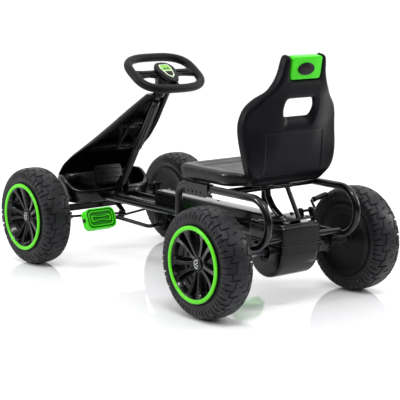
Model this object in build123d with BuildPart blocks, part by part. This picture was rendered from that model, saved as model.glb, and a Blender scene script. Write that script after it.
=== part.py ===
from build123d import *
import math
import os

# Pedal go-kart, modelled in millimetres. +Z up, the kart's front faces -Y, its
# left side is +X. The origin is on the ground, midway between the wheels.

# ---------------------------------------------------------------- wheels
wheel_radius = 150.0
tyre_half_width = 45.0
axle_height = 150.0
rear_axle_y = 425.0
front_axle_y = -425.0
rear_half_track = 270.0
front_half_track = 278.0
axle_radius = 8.0
running_gap = 0.3
hub_radius = 18.0
ring_outer_radius = 103.0
ring_inner_radius = 92.0

# ---------------------------------------------------------------- frame
rail_x = 45.0
rail_z = 193.0
rail_radius = 11.0
tube_wall = 2.0
rail_front_y = -437.0
rail_rear_y = 482.0
crossbar_y = 486.0
crossbar_z = 195.0
crossbar_radius = 9.0
outrigger_y = 160.0
loop_x = 160.0
loop_radius = 10.5
loop_low_z = 184.0
loop_top_z = 318.0
loop_front_y = 160.0
loop_bend_y = 477.5
loop_front_bend = 35.0
beam_z = 160.0
kingpin_x = 190.0
kingpin_radius = 5.0
bracket_low_z = 132.0
bracket_top_z = 202.0
plate = 4.0

# ---------------------------------------------------------------- steering
column_foot = Vector(0, -356, 220)
column_tilt = 33.0
shaft_radius = 7.0
column_radius = 11.0
sleeve_radius = 13.5
column_start = -20.0
column_split = 165.0
column_top = 352.0
pitman_length = 49.0
pitman_s = -56.0
rim_half_width = 115.0
rim_half_height = 78.0
rim_tube_radius = 13.0
rim_s = 446.8
rim_offset = -9.6
arm_length = 60.0
arm_z = 152.0

# ---------------------------------------------------------------- drive
crank_y = -72.0
crank_z = 148.0
crank_rod_radius = 6.0
pedal_left_y, pedal_left_z = -187.0, 165.0
pedal_length, pedal_depth, pedal_thickness = 104.0, 64.0, 26.0
pedal_start_x = 147.0
chainring_pitch_radius = 35.0
sprocket_pitch_radius = 25.0
sprocket_half = 1.5
chain_half_height = 4.2
case_half_width = 28.0
case_wall = 3.0
box_half_width = 69.0
drum_radius = 70.0
case_split_z = 180.0

# ---------------------------------------------------------------- seat
seat_half_width = 158.0
seat_front_y = 143.0
seat_bottom_z = 329.5
seat_top_z = 372.0
back_tilt = 10.5
back_thickness = 36.0
back_foot_y, back_foot_z = 451.0, 343.0

# ---------------------------------------------------------------- hand brake
brake_pivot_y, brake_pivot_z = 436.0, 252.0
brake_rod_radius = 4.0
brake_collar_radius = 24.0

os.makedirs("parts", exist_ok=True)

column_dir = Vector(0, math.sin(math.radians(column_tilt)), math.cos(math.radians(column_tilt)))
column_side = Vector(0, math.cos(math.radians(column_tilt)), -math.sin(math.radians(column_tilt)))


def on_column(s, across=0.0, x=0.0):
    """Point at height s along the steering axis, across towards the rider."""
    return column_foot + column_dir * s + column_side * across + Vector(x, 0, 0)


def column_plane(s, across=0.0):
    """Plane square to the steering axis, local x to the left, local y to the rider."""
    return Plane(origin=on_column(s, across), x_dir=(1, 0, 0), z_dir=column_dir)


# Every tube is drawn as its centre line and swept with its own round section.

# ================================================================ main frame
# Two straight rails joined by the rear crossbar, with a stub outrigger each side
# for the loops and two tabs that hold the pedal crank.
with BuildPart() as main_frame:
    with BuildSketch(Plane(origin=(0, rail_front_y, rail_z), x_dir=(1, 0, 0), z_dir=(0, 1, 0))):
        with Locations((rail_x, 0), (-rail_x, 0)):
            Circle(rail_radius)
    extrude(amount=rail_rear_y - rail_front_y)
    with BuildSketch(Plane(origin=(-loop_x + loop_radius, crossbar_y, crossbar_z), x_dir=(0, 1, 0), z_dir=(1, 0, 0))):
        Circle(crossbar_radius)
    extrude(amount=2 * (loop_x - loop_radius))
    with BuildSketch(Plane(origin=(rail_x, outrigger_y + 18, loop_low_z + 8), x_dir=(0, 1, 0), z_dir=(1, 0, 0))):
        Circle(crossbar_radius)
    extrude(amount=loop_x - loop_radius - rail_x)
    with BuildSketch(Plane(origin=(-rail_x, outrigger_y + 18, loop_low_z + 8), x_dir=(0, 1, 0), z_dir=(-1, 0, 0))):
        Circle(crossbar_radius)
    extrude(amount=loop_x - loop_radius - rail_x)
    # crank tabs hang under both rails
    for side in (1, -1):
        with BuildSketch(Plane(origin=(side * rail_x, crank_y, 0), x_dir=(0, 1, 0), z_dir=(1, 0, 0))):
            with BuildLine():
                Polyline((-26, rail_z - 4), (-20, crank_z), (-12, crank_z - 17), (12, crank_z - 17), (20, crank_z), (26, rail_z - 4), close=True)
            make_face()
            with Locations((0, crank_z)):
                Circle(10, mode=Mode.SUBTRACT)
        extrude(amount=plate / 2, both=True)
    # hollow rails
    with BuildSketch(Plane(origin=(0, rail_front_y, rail_z), x_dir=(1, 0, 0), z_dir=(0, 1, 0))):
        with Locations((rail_x, 0), (-rail_x, 0)):
            Circle(rail_radius - tube_wall)
    extrude(amount=rail_rear_y - rail_front_y - 8, mode=Mode.SUBTRACT)
    # hollow rear crossbar
    with BuildSketch(Plane(origin=(-loop_x + loop_radius, crossbar_y, crossbar_z), x_dir=(0, 1, 0), z_dir=(1, 0, 0))):
        Circle(crossbar_radius - tube_wall)
    extrude(amount=2 * (loop_x - loop_radius), mode=Mode.SUBTRACT)

# ================================================================ side loops
# Closed D of bent tube each side of the seat; a bearing plate hangs under it.
loops = {}
for side, name in ((1, "side_loop_left"), (-1, "side_loop_right")):
    x = side * loop_x
    mid_z = (loop_low_z + loop_top_z) / 2
    bend = (loop_top_z - loop_low_z) / 2
    with BuildPart() as loop:
        with BuildLine() as ring_path:
            Line((x, loop_front_y + 2, loop_low_z), (x, loop_bend_y, loop_low_z))
            ThreePointArc((x, loop_bend_y, loop_low_z), (x, loop_bend_y + bend, mid_z), (x, loop_bend_y, loop_top_z))
            Line((x, loop_bend_y, loop_top_z), (x, loop_front_y + loop_front_bend, loop_top_z))
            ThreePointArc(
                (x, loop_front_y + loop_front_bend, loop_top_z),
                (x, loop_front_y + loop_front_bend * (1 - math.sqrt(0.5)), loop_top_z - loop_front_bend * (1 - math.sqrt(0.5))),
                (x, loop_front_y, loop_top_z - loop_front_bend),
            )
            Line((x, loop_front_y, loop_top_z - loop_front_bend), (x, loop_front_y, loop_low_z - loop_radius))
        with BuildSketch(Plane(origin=(x, loop_front_y + 2, loop_low_z), x_dir=(1, 0, 0), z_dir=(0, 1, 0))):
            Circle(loop_radius)
        sweep(path=ring_path.wires()[0])
        with BuildSketch(Plane(origin=(x, rear_axle_y, 0), x_dir=(0, 1, 0), z_dir=(1, 0, 0))):
            with BuildLine():
                Polyline((-30, loop_low_z), (-22, axle_height - 10), (-12, axle_height - 26), (12, axle_height - 26), (22, axle_height - 10), (30, loop_low_z), close=True)
            make_face()
            with Locations((0, axle_height)):
                Circle(17, mode=Mode.SUBTRACT)
        extrude(amount=plate / 2, both=True)
    loop.part.label = name
    loops[name] = loop
    export_step(loop.part, "parts/" + name + ".step")

main_frame.part.label = "main_frame"
export_step(main_frame.part, "parts/main_frame.step")

# ================================================================ front axle beam
with BuildPart() as front_axle_beam:
    with BuildSketch(Plane(origin=(-168, front_axle_y, beam_z), x_dir=(0, 1, 0), z_dir=(1, 0, 0))):
        RectangleRounded(22, 20, 3)
    extrude(amount=336)
    for side in (1, -1):
        # C bracket that holds the kingpin
        with BuildSketch(Plane.XY.offset(bracket_low_z - plate / 2)):
            with Locations((side * 185, front_axle_y)):
                Rectangle(38, 24)
        extrude(amount=plate)
        with BuildSketch(Plane.XY.offset(bracket_top_z - plate / 2)):
            with Locations((side * 185, front_axle_y)):
                Rectangle(38, 24)
        extrude(amount=plate)
        with BuildSketch(Plane.XY.offset(bracket_low_z - plate / 2)):
            with Locations((side * 168, front_axle_y)):
                Rectangle(plate, 24)
        extrude(amount=bracket_top_z - bracket_low_z + plate)
        # saddle under the rail
        with BuildSketch(Plane.XY.offset(beam_z + 9)):
            with Locations((side * rail_x, front_axle_y)):
                Rectangle(26, 22)
        extrude(amount=rail_z - beam_z - 9)
        with BuildSketch(Plane.XY.offset(bracket_low_z - 10)):
            with Locations((side * kingpin_x, front_axle_y)):
                Circle(kingpin_radius)
        extrude(amount=100, mode=Mode.SUBTRACT)
    with BuildSketch(Plane(origin=(0, rail_front_y - 5, rail_z), x_dir=(1, 0, 0), z_dir=(0, 1, 0))):
        with Locations((rail_x, 0), (-rail_x, 0)):
            Circle(rail_radius)
    extrude(amount=60, mode=Mode.SUBTRACT)
front_axle_beam.part.label = "front_axle_beam"
export_step(front_axle_beam.part, "parts/front_axle_beam.step")

# ================================================================ kingpins
with BuildPart() as kingpins:
    for side in (1, -1):
        with BuildSketch(Plane.XY.offset(bracket_low_z - plate / 2 - 6)):
            with Locations((side * kingpin_x, front_axle_y)):
                Circle(kingpin_radius)
        extrude(amount=bracket_top_z - bracket_low_z + plate + 6)
        with BuildSketch(Plane.XY.offset(bracket_top_z + plate / 2)):
            with Locations((side * kingpin_x, front_axle_y)):
                RegularPolygon(9, 6)
        extrude(amount=6)
        with BuildSketch(Plane.XY.offset(bracket_low_z - plate / 2 - 7)):
            with Locations((side * kingpin_x, front_axle_y)):
                RegularPolygon(9, 6)
        extrude(amount=7)
kingpins.part.label = "kingpins"
export_step(kingpins.part, "parts/kingpins.step")

# ================================================================ seat support
# Cross tube between the loops, a curved post and a straight brace down to a
# saddle that straddles the chain case and stands on the rails.
saddle_y, saddle_z = 422.0, 240.0
with BuildPart() as seat_support:
    with BuildSketch(Plane(origin=(-loop_x + loop_radius, 368, loop_top_z), x_dir=(0, 1, 0), z_dir=(1, 0, 0))):
        Circle(9)
    extrude(amount=2 * (loop_x - loop_radius))
    with BuildSketch(Plane.XY.offset(322)):
        with Locations((0, 393)):
            RectangleRounded(60, 74, 8)
    extrude(amount=4)
    with BuildLine() as post_path:
        Spline((10, 366, 320), (10, 376, 286), (10, 405, 258), (10, 424, saddle_z + 2), tangents=((0, 0.05, -1), (0, 0.6, -1)))
    with BuildSketch(Plane(origin=(10, 366, 320), x_dir=(1, 0, 0), z_dir=(0, 0.05, -1))):
        Circle(9)
    sweep(path=post_path.wires()[0])
    with BuildLine() as brace_path:
        Line((-14, 420, 323), (-14, 470, saddle_z + 2))
    with BuildSketch(Plane(origin=(-14, 420, 323), x_dir=(1, 0, 0), z_dir=(0, 50, saddle_z + 2 - 323))):
        Circle(6.5)
    sweep(path=brace_path.wires()[0])
    # saddle: top plate and two legs that stand on the rails
    with BuildSketch(Plane.XY.offset(saddle_z)):
        with Locations((0, 442)):
            RectangleRounded(112, 84, 6)
    extrude(amount=plate)
    for side in (1, -1):
        with BuildSketch(Plane.XY.offset(rail_z)):
            with Locations((side * rail_x, saddle_y)):
                Rectangle(8, 36)
        extrude(amount=saddle_z - rail_z + 1)
    # ear that carries the brake lever
    with BuildSketch(Plane(origin=(-54, brake_pivot_y, 0), x_dir=(0, 1, 0), z_dir=(1, 0, 0))):
        with BuildLine():
            Polyline((-12, saddle_z + 1), (-9, brake_pivot_z + 9), (9, brake_pivot_z + 9), (12, saddle_z + 1), close=True)
        make_face()
        with Locations((0, brake_pivot_z)):
            Circle(brake_rod_radius + running_gap, mode=Mode.SUBTRACT)
    extrude(amount=plate)
    with BuildSketch(Plane(origin=(0, rail_front_y - 5, rail_z), x_dir=(1, 0, 0), z_dir=(0, 1, 0))):
        with Locations((rail_x, 0), (-rail_x, 0)):
            Circle(rail_radius)
    extrude(amount=1000, mode=Mode.SUBTRACT)
seat_support.part.label = "seat_support"
export_step(seat_support.part, "parts/seat_support.step")

# ================================================================ steering column
with BuildPart() as steering_column:
    with BuildSketch(column_plane(column_start)):
        Circle(column_radius)
    extrude(amount=column_split - column_start)
    with BuildSketch(Plane.XY.offset(rail_z + rail_radius)):
        with Locations((0, -366)):
            RectangleRounded(120, 74, 8)
    extrude(amount=plate)
    for side in (1, -1):
        # cheeks that brace the tube on its foot plate
        with BuildSketch(Plane(origin=(side * 10.6, 0, 0), x_dir=(0, 1, 0), z_dir=(1, 0, 0))):
            with BuildLine():
                Polyline((-395, 206), (-335, 206), (-330, 238), (-340, 262), (-358, 240), close=True)
            make_face()
        extrude(amount=2, both=True)
    with BuildSketch(column_plane(column_start - 20)):
        Circle(shaft_radius + running_gap)
    extrude(amount=300, mode=Mode.SUBTRACT)
    with BuildSketch(Plane.XY.offset(rail_z)):
        with Locations((rail_x, -392), (-rail_x, -392), (rail_x, -340), (-rail_x, -340)):
            Circle(4)
    extrude(amount=30, mode=Mode.SUBTRACT)
steering_column.part.label = "steering_column"
export_step(steering_column.part, "parts/steering_column.step")

with BuildPart() as frame_bolts:
    with BuildSketch(Plane.XY.offset(rail_z + rail_radius)):
        with Locations((rail_x, -392), (-rail_x, -392), (rail_x, -340), (-rail_x, -340)):
            Circle(4)
    extrude(amount=plate)
    with BuildSketch(Plane.XY.offset(rail_z + rail_radius + plate)):
        with Locations((rail_x, -392), (-rail_x, -392), (rail_x, -340), (-rail_x, -340)):
            RegularPolygon(7, 6)
    extrude(amount=5)
frame_bolts.part.label = "frame_bolts"
export_step(frame_bolts.part, "parts/frame_bolts.step")

with BuildPart() as column_sleeve:
    with BuildSketch(column_plane(column_split)):
        Circle(sleeve_radius)
        Circle(shaft_radius + running_gap, mode=Mode.SUBTRACT)
    extrude(amount=column_top - column_split)
    chamfer(column_sleeve.faces().sort_by(Axis((0, 0, 0), column_dir))[-1].outer_wire().edges(), 2)
column_sleeve.part.label = "column_sleeve"
export_step(column_sleeve.part, "parts/column_sleeve.step")

# ================================================================ steering shaft
with BuildPart() as steering_shaft:
    with BuildSketch(column_plane(pitman_s - 5)):
        Circle(shaft_radius)
    extrude(amount=column_top + 40 - pitman_s + 5)
    with BuildSketch(column_plane(pitman_s - 5)):
        with BuildLine():
            Polyline((-10, -6), (10, -6), (10, 6), (7, pitman_length + 6), (-7, pitman_length + 6), (-10, 6), close=True)
        make_face()
        Circle(11)
    extrude(amount=5)
    with BuildSketch(column_plane(pitman_s - 27)):
        with Locations((0, pitman_length)):
            Circle(2.5)
    extrude(amount=30)
    with BuildSketch(column_plane(pitman_s - 31)):
        with Locations((0, pitman_length)):
            Circle(4.5)
    extrude(amount=4)
steering_shaft.part.label = "steering_shaft"
export_step(steering_shaft.part, "parts/steering_shaft.step")

# ================================================================ steering wheel
with BuildPart() as steering_wheel:
    rim_plane = column_plane(rim_s, rim_offset)
    with BuildLine(rim_plane) as rim_path:
        FilletPolyline(
            (0, rim_half_height), (rim_half_width, rim_half_height), (rim_half_width, -rim_half_height),
            (-rim_half_width, -rim_half_height), (-rim_half_width, rim_half_height),
            radius=[0, 60, 60, 60, 60], close=True,
        )
    with BuildSketch(Plane(origin=on_column(rim_s, rim_offset + rim_half_height), x_dir=column_dir, z_dir=(1, 0, 0))):
        Circle(rim_tube_radius)
    sweep(path=rim_path.wires()[0])
    # spokes to both sides and one towards the rider
    with BuildSketch(column_plane(rim_s - 9)):
        with Locations((0, -14)):
            RectangleRounded(2 * rim_half_width, 30, 6)
        with Locations((0, 30)):
            RectangleRounded(40, 80, 8)
    extrude(amount=12)
    # hub body down to the shaft
    with BuildSketch(column_plane(column_top + 14)):
        Circle(17)
    with BuildSketch(column_plane(rim_s - 12)):
        Circle(34)
    loft()
    with BuildSketch(column_plane(rim_s - 12)):
        Ellipse(34, 40)
    extrude(amount=16)
    with BuildSketch(column_plane(column_top + 5)):
        Circle(17)
    extrude(amount=9.5)
    with BuildSketch(column_plane(column_top + 2)):
        Circle(shaft_radius)
    extrude(amount=38, mode=Mode.SUBTRACT)
steering_wheel.part.label = "steering_wheel"
export_step(steering_wheel.part, "parts/steering_wheel.step")

with BuildPart() as hub_cover:
    with BuildSketch(column_plane(rim_s + 4)):
        with BuildLine():
            Spline((0, 52), (-30, 20), (-34, -22), (0, -48), (34, -22), (30, 20), periodic=True)
        make_face()
    extrude(amount=9, taper=12)
hub_cover.part.label = "hub_cover"
export_step(hub_cover.part, "parts/hub_cover.step")

with BuildPart() as hub_badge:
    with BuildSketch(column_plane(rim_s + 13)):
        with BuildLine():
            Polyline((-16, -30), (16, -30), (20, -18), (14, 18), (0, 34), (-14, 18), (-20, -18), close=True)
        make_face()
    extrude(amount=1.5)
hub_badge.part.label = "hub_badge"
export_step(hub_badge.part, "parts/hub_badge.step")

# ================================================================ front fairing
# Cowl open towards the rider: an outer skin lofted through four level sections
# less an inner one set back by the wall.
fairing_sections = (
    (535, 40, -146, -180),
    (430, 86, -272, -328),
    (322, 128, -408, -474),
    (256, 146, -428, -520),
)


def cowl_face(z, half, rear, front, inset):
    """Level section of the cowl: an arch whose open side faces the rider."""
    with BuildSketch(Plane.XY.offset(z)) as face:
        with BuildLine():
            w = half - inset
            f = front + inset
            d = rear - f
            Polyline((w, rear + inset * 3), (w, rear - 0.25 * d), (0.82 * w, rear - 0.72 * d), (0.42 * w, f + 0.04 * d), (-0.42 * w, f + 0.04 * d), (-0.82 * w, rear - 0.72 * d), (-w, rear - 0.25 * d), (-w, rear + inset * 3), close=True)
        make_face()
    return face.sketch.faces()[0]


with BuildPart() as front_fairing:
    loft(sections=[cowl_face(z, w, r, f, 0) for z, w, r, f in fairing_sections], ruled=True)
    loft(sections=[cowl_face(z, w, r, f, 4) for z, w, r, f in fairing_sections], ruled=True, mode=Mode.SUBTRACT)
front_fairing.part.label = "front_fairing"
export_step(front_fairing.part, "parts/front_fairing.step")

# ================================================================ footwell body
# Open tray over the front beam with a bulged lobe on each side.
with BuildPart() as footwell_body:
    with BuildSketch(Plane.XY.offset(172)):
        with Locations((0, -455)):
            RectangleRounded(300, 140, 40)
    extrude(amount=44)
    with BuildSketch(Plane.XY.offset(216)):
        with Locations((0, -455)):
            RectangleRounded(316, 140, 50)
    extrude(amount=40)
    with BuildSketch(Plane.XY.offset(176)):
        with Locations((0, -450)):
            RectangleRounded(292, 142, 36)
    extrude(amount=44, mode=Mode.SUBTRACT)
    with BuildSketch(Plane.XY.offset(220)):
        with Locations((0, -450)):
            RectangleRounded(308, 142, 46)
    extrude(amount=40, mode=Mode.SUBTRACT)
    # the frame passes through the floor of the tray
    with BuildSketch(Plane.XY.offset(160)):
        with Locations((rail_x, -425), (-rail_x, -425)):
            Rectangle(28, 24)
        with Locations((0, -400)):
            Rectangle(36, 40)
    extrude(amount=30, mode=Mode.SUBTRACT)
footwell_body.part.label = "footwell_body"
export_step(footwell_body.part, "parts/footwell_body.step")

# ================================================================ chain case
case_outline = ((-140, 232), (-132, 241), (395, 241), (395, 108), (-20, 101), (-104, 101), (-140, 124))
inner_outline = ((-137, 231), (-131, 238), (396, 238), (396, 111), (-20, 104), (-103, 104), (-137, 125))
with BuildPart() as case_shell:
    with BuildSketch(Plane.YZ):
        with BuildLine():
            Polyline(*case_outline, close=True)
        make_face()
    extrude(amount=case_half_width, both=True)
    with BuildSketch(Plane.YZ):
        with Locations((rear_axle_y, axle_height)):
            Circle(drum_radius)
    extrude(amount=box_half_width, both=True)
    with BuildSketch(Plane.YZ):
        with BuildLine():
            Polyline((357, axle_height), (357, 224), (363, 230), (494, 230), (500, 224), (500, axle_height), close=True)
        make_face()
    extrude(amount=box_half_width, both=True)
    with BuildSketch(Plane.YZ):
        with BuildLine():
            Polyline(*inner_outline, close=True)
        make_face()
    extrude(amount=case_half_width - case_wall, both=True, mode=Mode.SUBTRACT)
    with BuildSketch(Plane.YZ):
        with Locations((rear_axle_y, axle_height)):
            Circle(drum_radius - case_wall)
    extrude(amount=box_half_width - case_wall, both=True, mode=Mode.SUBTRACT)
    with BuildSketch(Plane.YZ):
        with BuildLine():
            Polyline((360, axle_height), (360, 223), (364, 227), (493, 227), (497, 223), (497, axle_height), close=True)
        make_face()
    extrude(amount=box_half_width - case_wall, both=True, mode=Mode.SUBTRACT)
    # openings for the crank and the rear axle
    with BuildSketch(Plane.YZ):
        with Locations((crank_y, crank_z)):
            Circle(14)
        with Locations((rear_axle_y, axle_height)):
            Circle(14)
    extrude(amount=100, both=True, mode=Mode.SUBTRACT)
    add(main_frame.part, mode=Mode.SUBTRACT)
    add(seat_support.part, mode=Mode.SUBTRACT)
    # slots so the solid tube ends inside the rails' bores aren't left as plugs
    with BuildSketch(Plane(origin=(0, rail_front_y, rail_z), x_dir=(1, 0, 0), z_dir=(0, 1, 0))):
        with Locations((rail_x, 0), (-rail_x, 0)):
            Circle(rail_radius)
    extrude(amount=rail_rear_y - rail_front_y, mode=Mode.SUBTRACT)
    with BuildSketch(Plane(origin=(-100, crossbar_y, crossbar_z), x_dir=(0, 1, 0), z_dir=(1, 0, 0))):
        Circle(crossbar_radius)
    extrude(amount=200, mode=Mode.SUBTRACT)

screw_spots = ((60, 366), (-60, 366), (60, 485), (-60, 485), (15, -120), (15, 120), (-15, -120), (-15, 120))
with BuildPart() as case_screws:
    for sx, sy in screw_spots:
        top = 230 if sy > 357 else 241
        with BuildSketch(Plane.XY.offset(top - 6)):
            with Locations((sx, sy)):
                Circle(2)
        extrude(amount=6)
        with BuildSketch(Plane.XY.offset(top)):
            with Locations((sx, sy)):
                Circle(4)
        extrude(amount=2.5)
case_screws.part.label = "case_screws"
export_step(case_screws.part, "parts/case_screws.step")

with BuildPart() as chain_case_upper:
    add(case_shell.part)
    split(bisect_by=Plane.XY.offset(case_split_z), keep=Keep.TOP)
    add(case_screws.part, mode=Mode.SUBTRACT)
chain_case_upper.part.label = "chain_case_upper"
export_step(chain_case_upper.part, "parts/chain_case_upper.step")

with BuildPart() as chain_case_lower:
    add(case_shell.part)
    split(bisect_by=Plane.XY.offset(case_split_z), keep=Keep.BOTTOM)
chain_case_lower.part.label = "chain_case_lower"
export_step(chain_case_lower.part, "parts/chain_case_lower.step")

# ================================================================ bearings
with BuildPart() as rear_bearings:
    for side in (1, -1):
        with BuildSketch(Plane(origin=(side * (loop_x - 8), rear_axle_y, axle_height), x_dir=(0, 1, 0), z_dir=(side, 0, 0))):
            Circle(17)
            Circle(axle_radius + running_gap, mode=Mode.SUBTRACT)
        extrude(amount=16)
        with BuildSketch(Plane(origin=(side * (loop_x - 8), rear_axle_y, axle_height), x_dir=(0, 1, 0), z_dir=(side, 0, 0))):
            Circle(22)
            Circle(axle_radius + running_gap, mode=Mode.SUBTRACT)
        extrude(amount=6)
rear_bearings.part.label = "rear_bearings"
export_step(rear_bearings.part, "parts/rear_bearings.step")

with BuildPart() as crank_bushes:
    for side in (1, -1):
        with BuildSketch(Plane(origin=(side * (rail_x - 2), crank_y, crank_z), x_dir=(0, 1, 0), z_dir=(side, 0, 0))):
            Circle(10)
            Circle(crank_rod_radius + running_gap, mode=Mode.SUBTRACT)
        extrude(amount=4)
        with BuildSketch(Plane(origin=(side * (rail_x + 2), crank_y, crank_z), x_dir=(0, 1, 0), z_dir=(side, 0, 0))):
            Circle(13)
            Circle(crank_rod_radius + running_gap, mode=Mode.SUBTRACT)
        extrude(amount=4)
crank_bushes.part.label = "crank_bushes"
export_step(crank_bushes.part, "parts/crank_bushes.step")

# ================================================================ crank and drive
pedal_right_y = 2 * crank_y - pedal_left_y
pedal_right_z = 2 * crank_z - pedal_left_z
crank_end_x = pedal_start_x + pedal_length + 5
with BuildPart() as crank_axle:
    with BuildLine() as crank_path:
        FilletPolyline(
            (-crank_end_x, pedal_right_y, pedal_right_z), (-138, pedal_right_y, pedal_right_z), (-98, crank_y, crank_z),
            (98, crank_y, crank_z), (138, pedal_left_y, pedal_left_z), (crank_end_x, pedal_left_y, pedal_left_z),
            radius=16,
        )
    with BuildSketch(Plane(origin=(-crank_end_x, pedal_right_y, pedal_right_z), x_dir=(0, 1, 0), z_dir=(1, 0, 0))):
        Circle(crank_rod_radius)
    sweep(path=crank_path.wires()[0])
crank_axle.part.label = "crank_axle"
export_step(crank_axle.part, "parts/crank_axle.step")


def sprocket_face(y, z, pitch_radius, teeth, bore):
    """Toothed disc in the chain's plane, standing on the mid plane."""
    with BuildSketch(Plane.YZ.offset(-sprocket_half)) as face:
        with Locations((y, z)):
            Circle(pitch_radius + 2.5)
            with PolarLocations(pitch_radius + 2.2, teeth):
                Circle(2.6, mode=Mode.SUBTRACT)
            Circle(bore, mode=Mode.SUBTRACT)
    return face.sketch


with BuildPart() as chainring:
    extrude(sprocket_face(crank_y, crank_z, chainring_pitch_radius, 28, crank_rod_radius), amount=2 * sprocket_half)
    with BuildSketch(Plane.YZ.offset(-12)):
        with Locations((crank_y, crank_z)):
            Circle(13)
            Circle(crank_rod_radius, mode=Mode.SUBTRACT)
    extrude(amount=24)
    with BuildSketch(Plane.YZ.offset(-5)):
        with Locations((crank_y, crank_z)):
            with PolarLocations(22, 5):
                Circle(5.5)
    extrude(amount=10, mode=Mode.SUBTRACT)
chainring.part.label = "chainring"
export_step(chainring.part, "parts/chainring.step")

with BuildPart() as rear_sprocket:
    extrude(sprocket_face(rear_axle_y, axle_height, sprocket_pitch_radius, 20, axle_radius), amount=2 * sprocket_half)
    with BuildSketch(Plane.YZ.offset(-14)):
        with Locations((rear_axle_y, axle_height)):
            Circle(15)
            Circle(axle_radius, mode=Mode.SUBTRACT)
    extrude(amount=28)
rear_sprocket.part.label = "rear_sprocket"
export_step(rear_sprocket.part, "parts/rear_sprocket.step")


def belt_outline(grow):
    """Straight runs and wraps round both sprockets, grown by so much."""
    r1 = chainring_pitch_radius + grow
    r2 = sprocket_pitch_radius + grow
    dy = rear_axle_y - crank_y
    dz = axle_height - crank_z
    dist = math.hypot(dy, dz)
    lean = math.atan2(dz, dy)
    off = math.acos((r1 - r2) / dist)
    up, down = lean + off, lean - off
    a1 = (crank_y + r1 * math.cos(up), crank_z + r1 * math.sin(up))
    b1 = (rear_axle_y + r2 * math.cos(up), axle_height + r2 * math.sin(up))
    b2 = (rear_axle_y + r2 * math.cos(down), axle_height + r2 * math.sin(down))
    a2 = (crank_y + r1 * math.cos(down), crank_z + r1 * math.sin(down))
    with BuildLine() as outline:
        Line(a1, b1)
        ThreePointArc(b1, (rear_axle_y + r2 * math.cos(lean), axle_height + r2 * math.sin(lean)), b2)
        Line(b2, a2)
        ThreePointArc(a2, (crank_y - r1 * math.cos(lean), crank_z - r1 * math.sin(lean)), a1)
    return outline, a1, b1, a2, b2


outer_run, oa1, ob1, oa2, ob2 = belt_outline(chain_half_height)
inner_run, ia1, ib1, ia2, ib2 = belt_outline(-chain_half_height)
mid_run, ma1, mb1, ma2, mb2 = belt_outline(0)
with BuildPart() as drive_chain:
    for x0 in (2.2, -3.7):
        with BuildSketch(Plane.YZ.offset(x0)):
            add(outer_run.line)
            make_face()
            with BuildSketch(mode=Mode.SUBTRACT):
                add(inner_run.line)
                make_face()
        extrude(amount=1.5)
    # rollers that join the two rows of plates along the straight runs
    spots = []
    for start, end in ((ma1, mb1), (ma2, mb2)):
        for i in range(4, 37, 2):
            k = i / 40
            spots.append((start[0] + (end[0] - start[0]) * k, start[1] + (end[1] - start[1]) * k))
    with BuildSketch(Plane.YZ.offset(-2.2)):
        with Locations(*spots):
            Circle(3)
    extrude(amount=4.4)
drive_chain.part.label = "drive_chain"
export_step(drive_chain.part, "parts/drive_chain.step")

with BuildPart() as rear_axle:
    with BuildSketch(Plane(origin=(-rear_half_track - 23, rear_axle_y, axle_height), x_dir=(0, 1, 0), z_dir=(1, 0, 0))):
        Circle(axle_radius)
    extrude(amount=2 * (rear_half_track + 23))
    # shoulders beside the bearings, the brake collar and the end nuts
    for side in (1, -1):
        with BuildSketch(Plane(origin=(side * (loop_x + 10), rear_axle_y, axle_height), x_dir=(0, 1, 0), z_dir=(side, 0, 0))):
            Circle(13)
        extrude(amount=rear_half_track - 38.5 - loop_x - 10)
        with BuildSketch(Plane(origin=(side * (rear_half_track + 18.5), rear_axle_y, axle_height), x_dir=(0, 1, 0), z_dir=(side, 0, 0))):
            RegularPolygon(12, 6)
        extrude(amount=5)
    with BuildSketch(Plane(origin=(-80, rear_axle_y, axle_height), x_dir=(0, 1, 0), z_dir=(-1, 0, 0))):
        Circle(brake_collar_radius)
    extrude(amount=18)
rear_axle.part.label = "rear_axle"
export_step(rear_axle.part, "parts/rear_axle.step")

# ================================================================ pedals
# Block pedals turn on the straight ends of the crank rod.
pedal_tilt = 24.0
for name, side, py, pz in (("pedal_left", 1, pedal_left_y, pedal_left_z), ("pedal_right", -1, pedal_right_y, pedal_right_z)):
    face_normal = Vector(0, math.cos(math.radians(pedal_tilt)), math.sin(math.radians(pedal_tilt)))
    mid = Vector(side * (pedal_start_x + pedal_length / 2), py, pz)
    tread = Plane(origin=mid - face_normal * (pedal_thickness / 2), x_dir=(1, 0, 0), z_dir=face_normal)
    with BuildPart() as pedal:
        with BuildSketch(tread):
            RectangleRounded(pedal_length, pedal_depth, 14)
        extrude(amount=pedal_thickness)
        # contour ribs stand in a shallow recess on both treads
        for face_offset in (0.0, pedal_thickness - 2.5):
            with BuildSketch(tread.offset(face_offset)):
                RectangleRounded(pedal_length - 12, pedal_depth - 12, 9)
                RectangleRounded(pedal_length - 22, pedal_depth - 22, 6, mode=Mode.SUBTRACT)
                RectangleRounded(pedal_length - 34, pedal_depth - 34, 4)
                Rectangle(pedal_length - 50, 6, mode=Mode.SUBTRACT)
            extrude(amount=2.5, mode=Mode.SUBTRACT)
        with BuildSketch(Plane(origin=(side * (pedal_start_x - 5), py, pz), x_dir=(0, 1, 0), z_dir=(side, 0, 0))):
            Circle(crank_rod_radius + running_gap)
        extrude(amount=pedal_length + 20, mode=Mode.SUBTRACT)
    pedal.part.label = name
    export_step(pedal.part, "parts/" + name + ".step")

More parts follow.
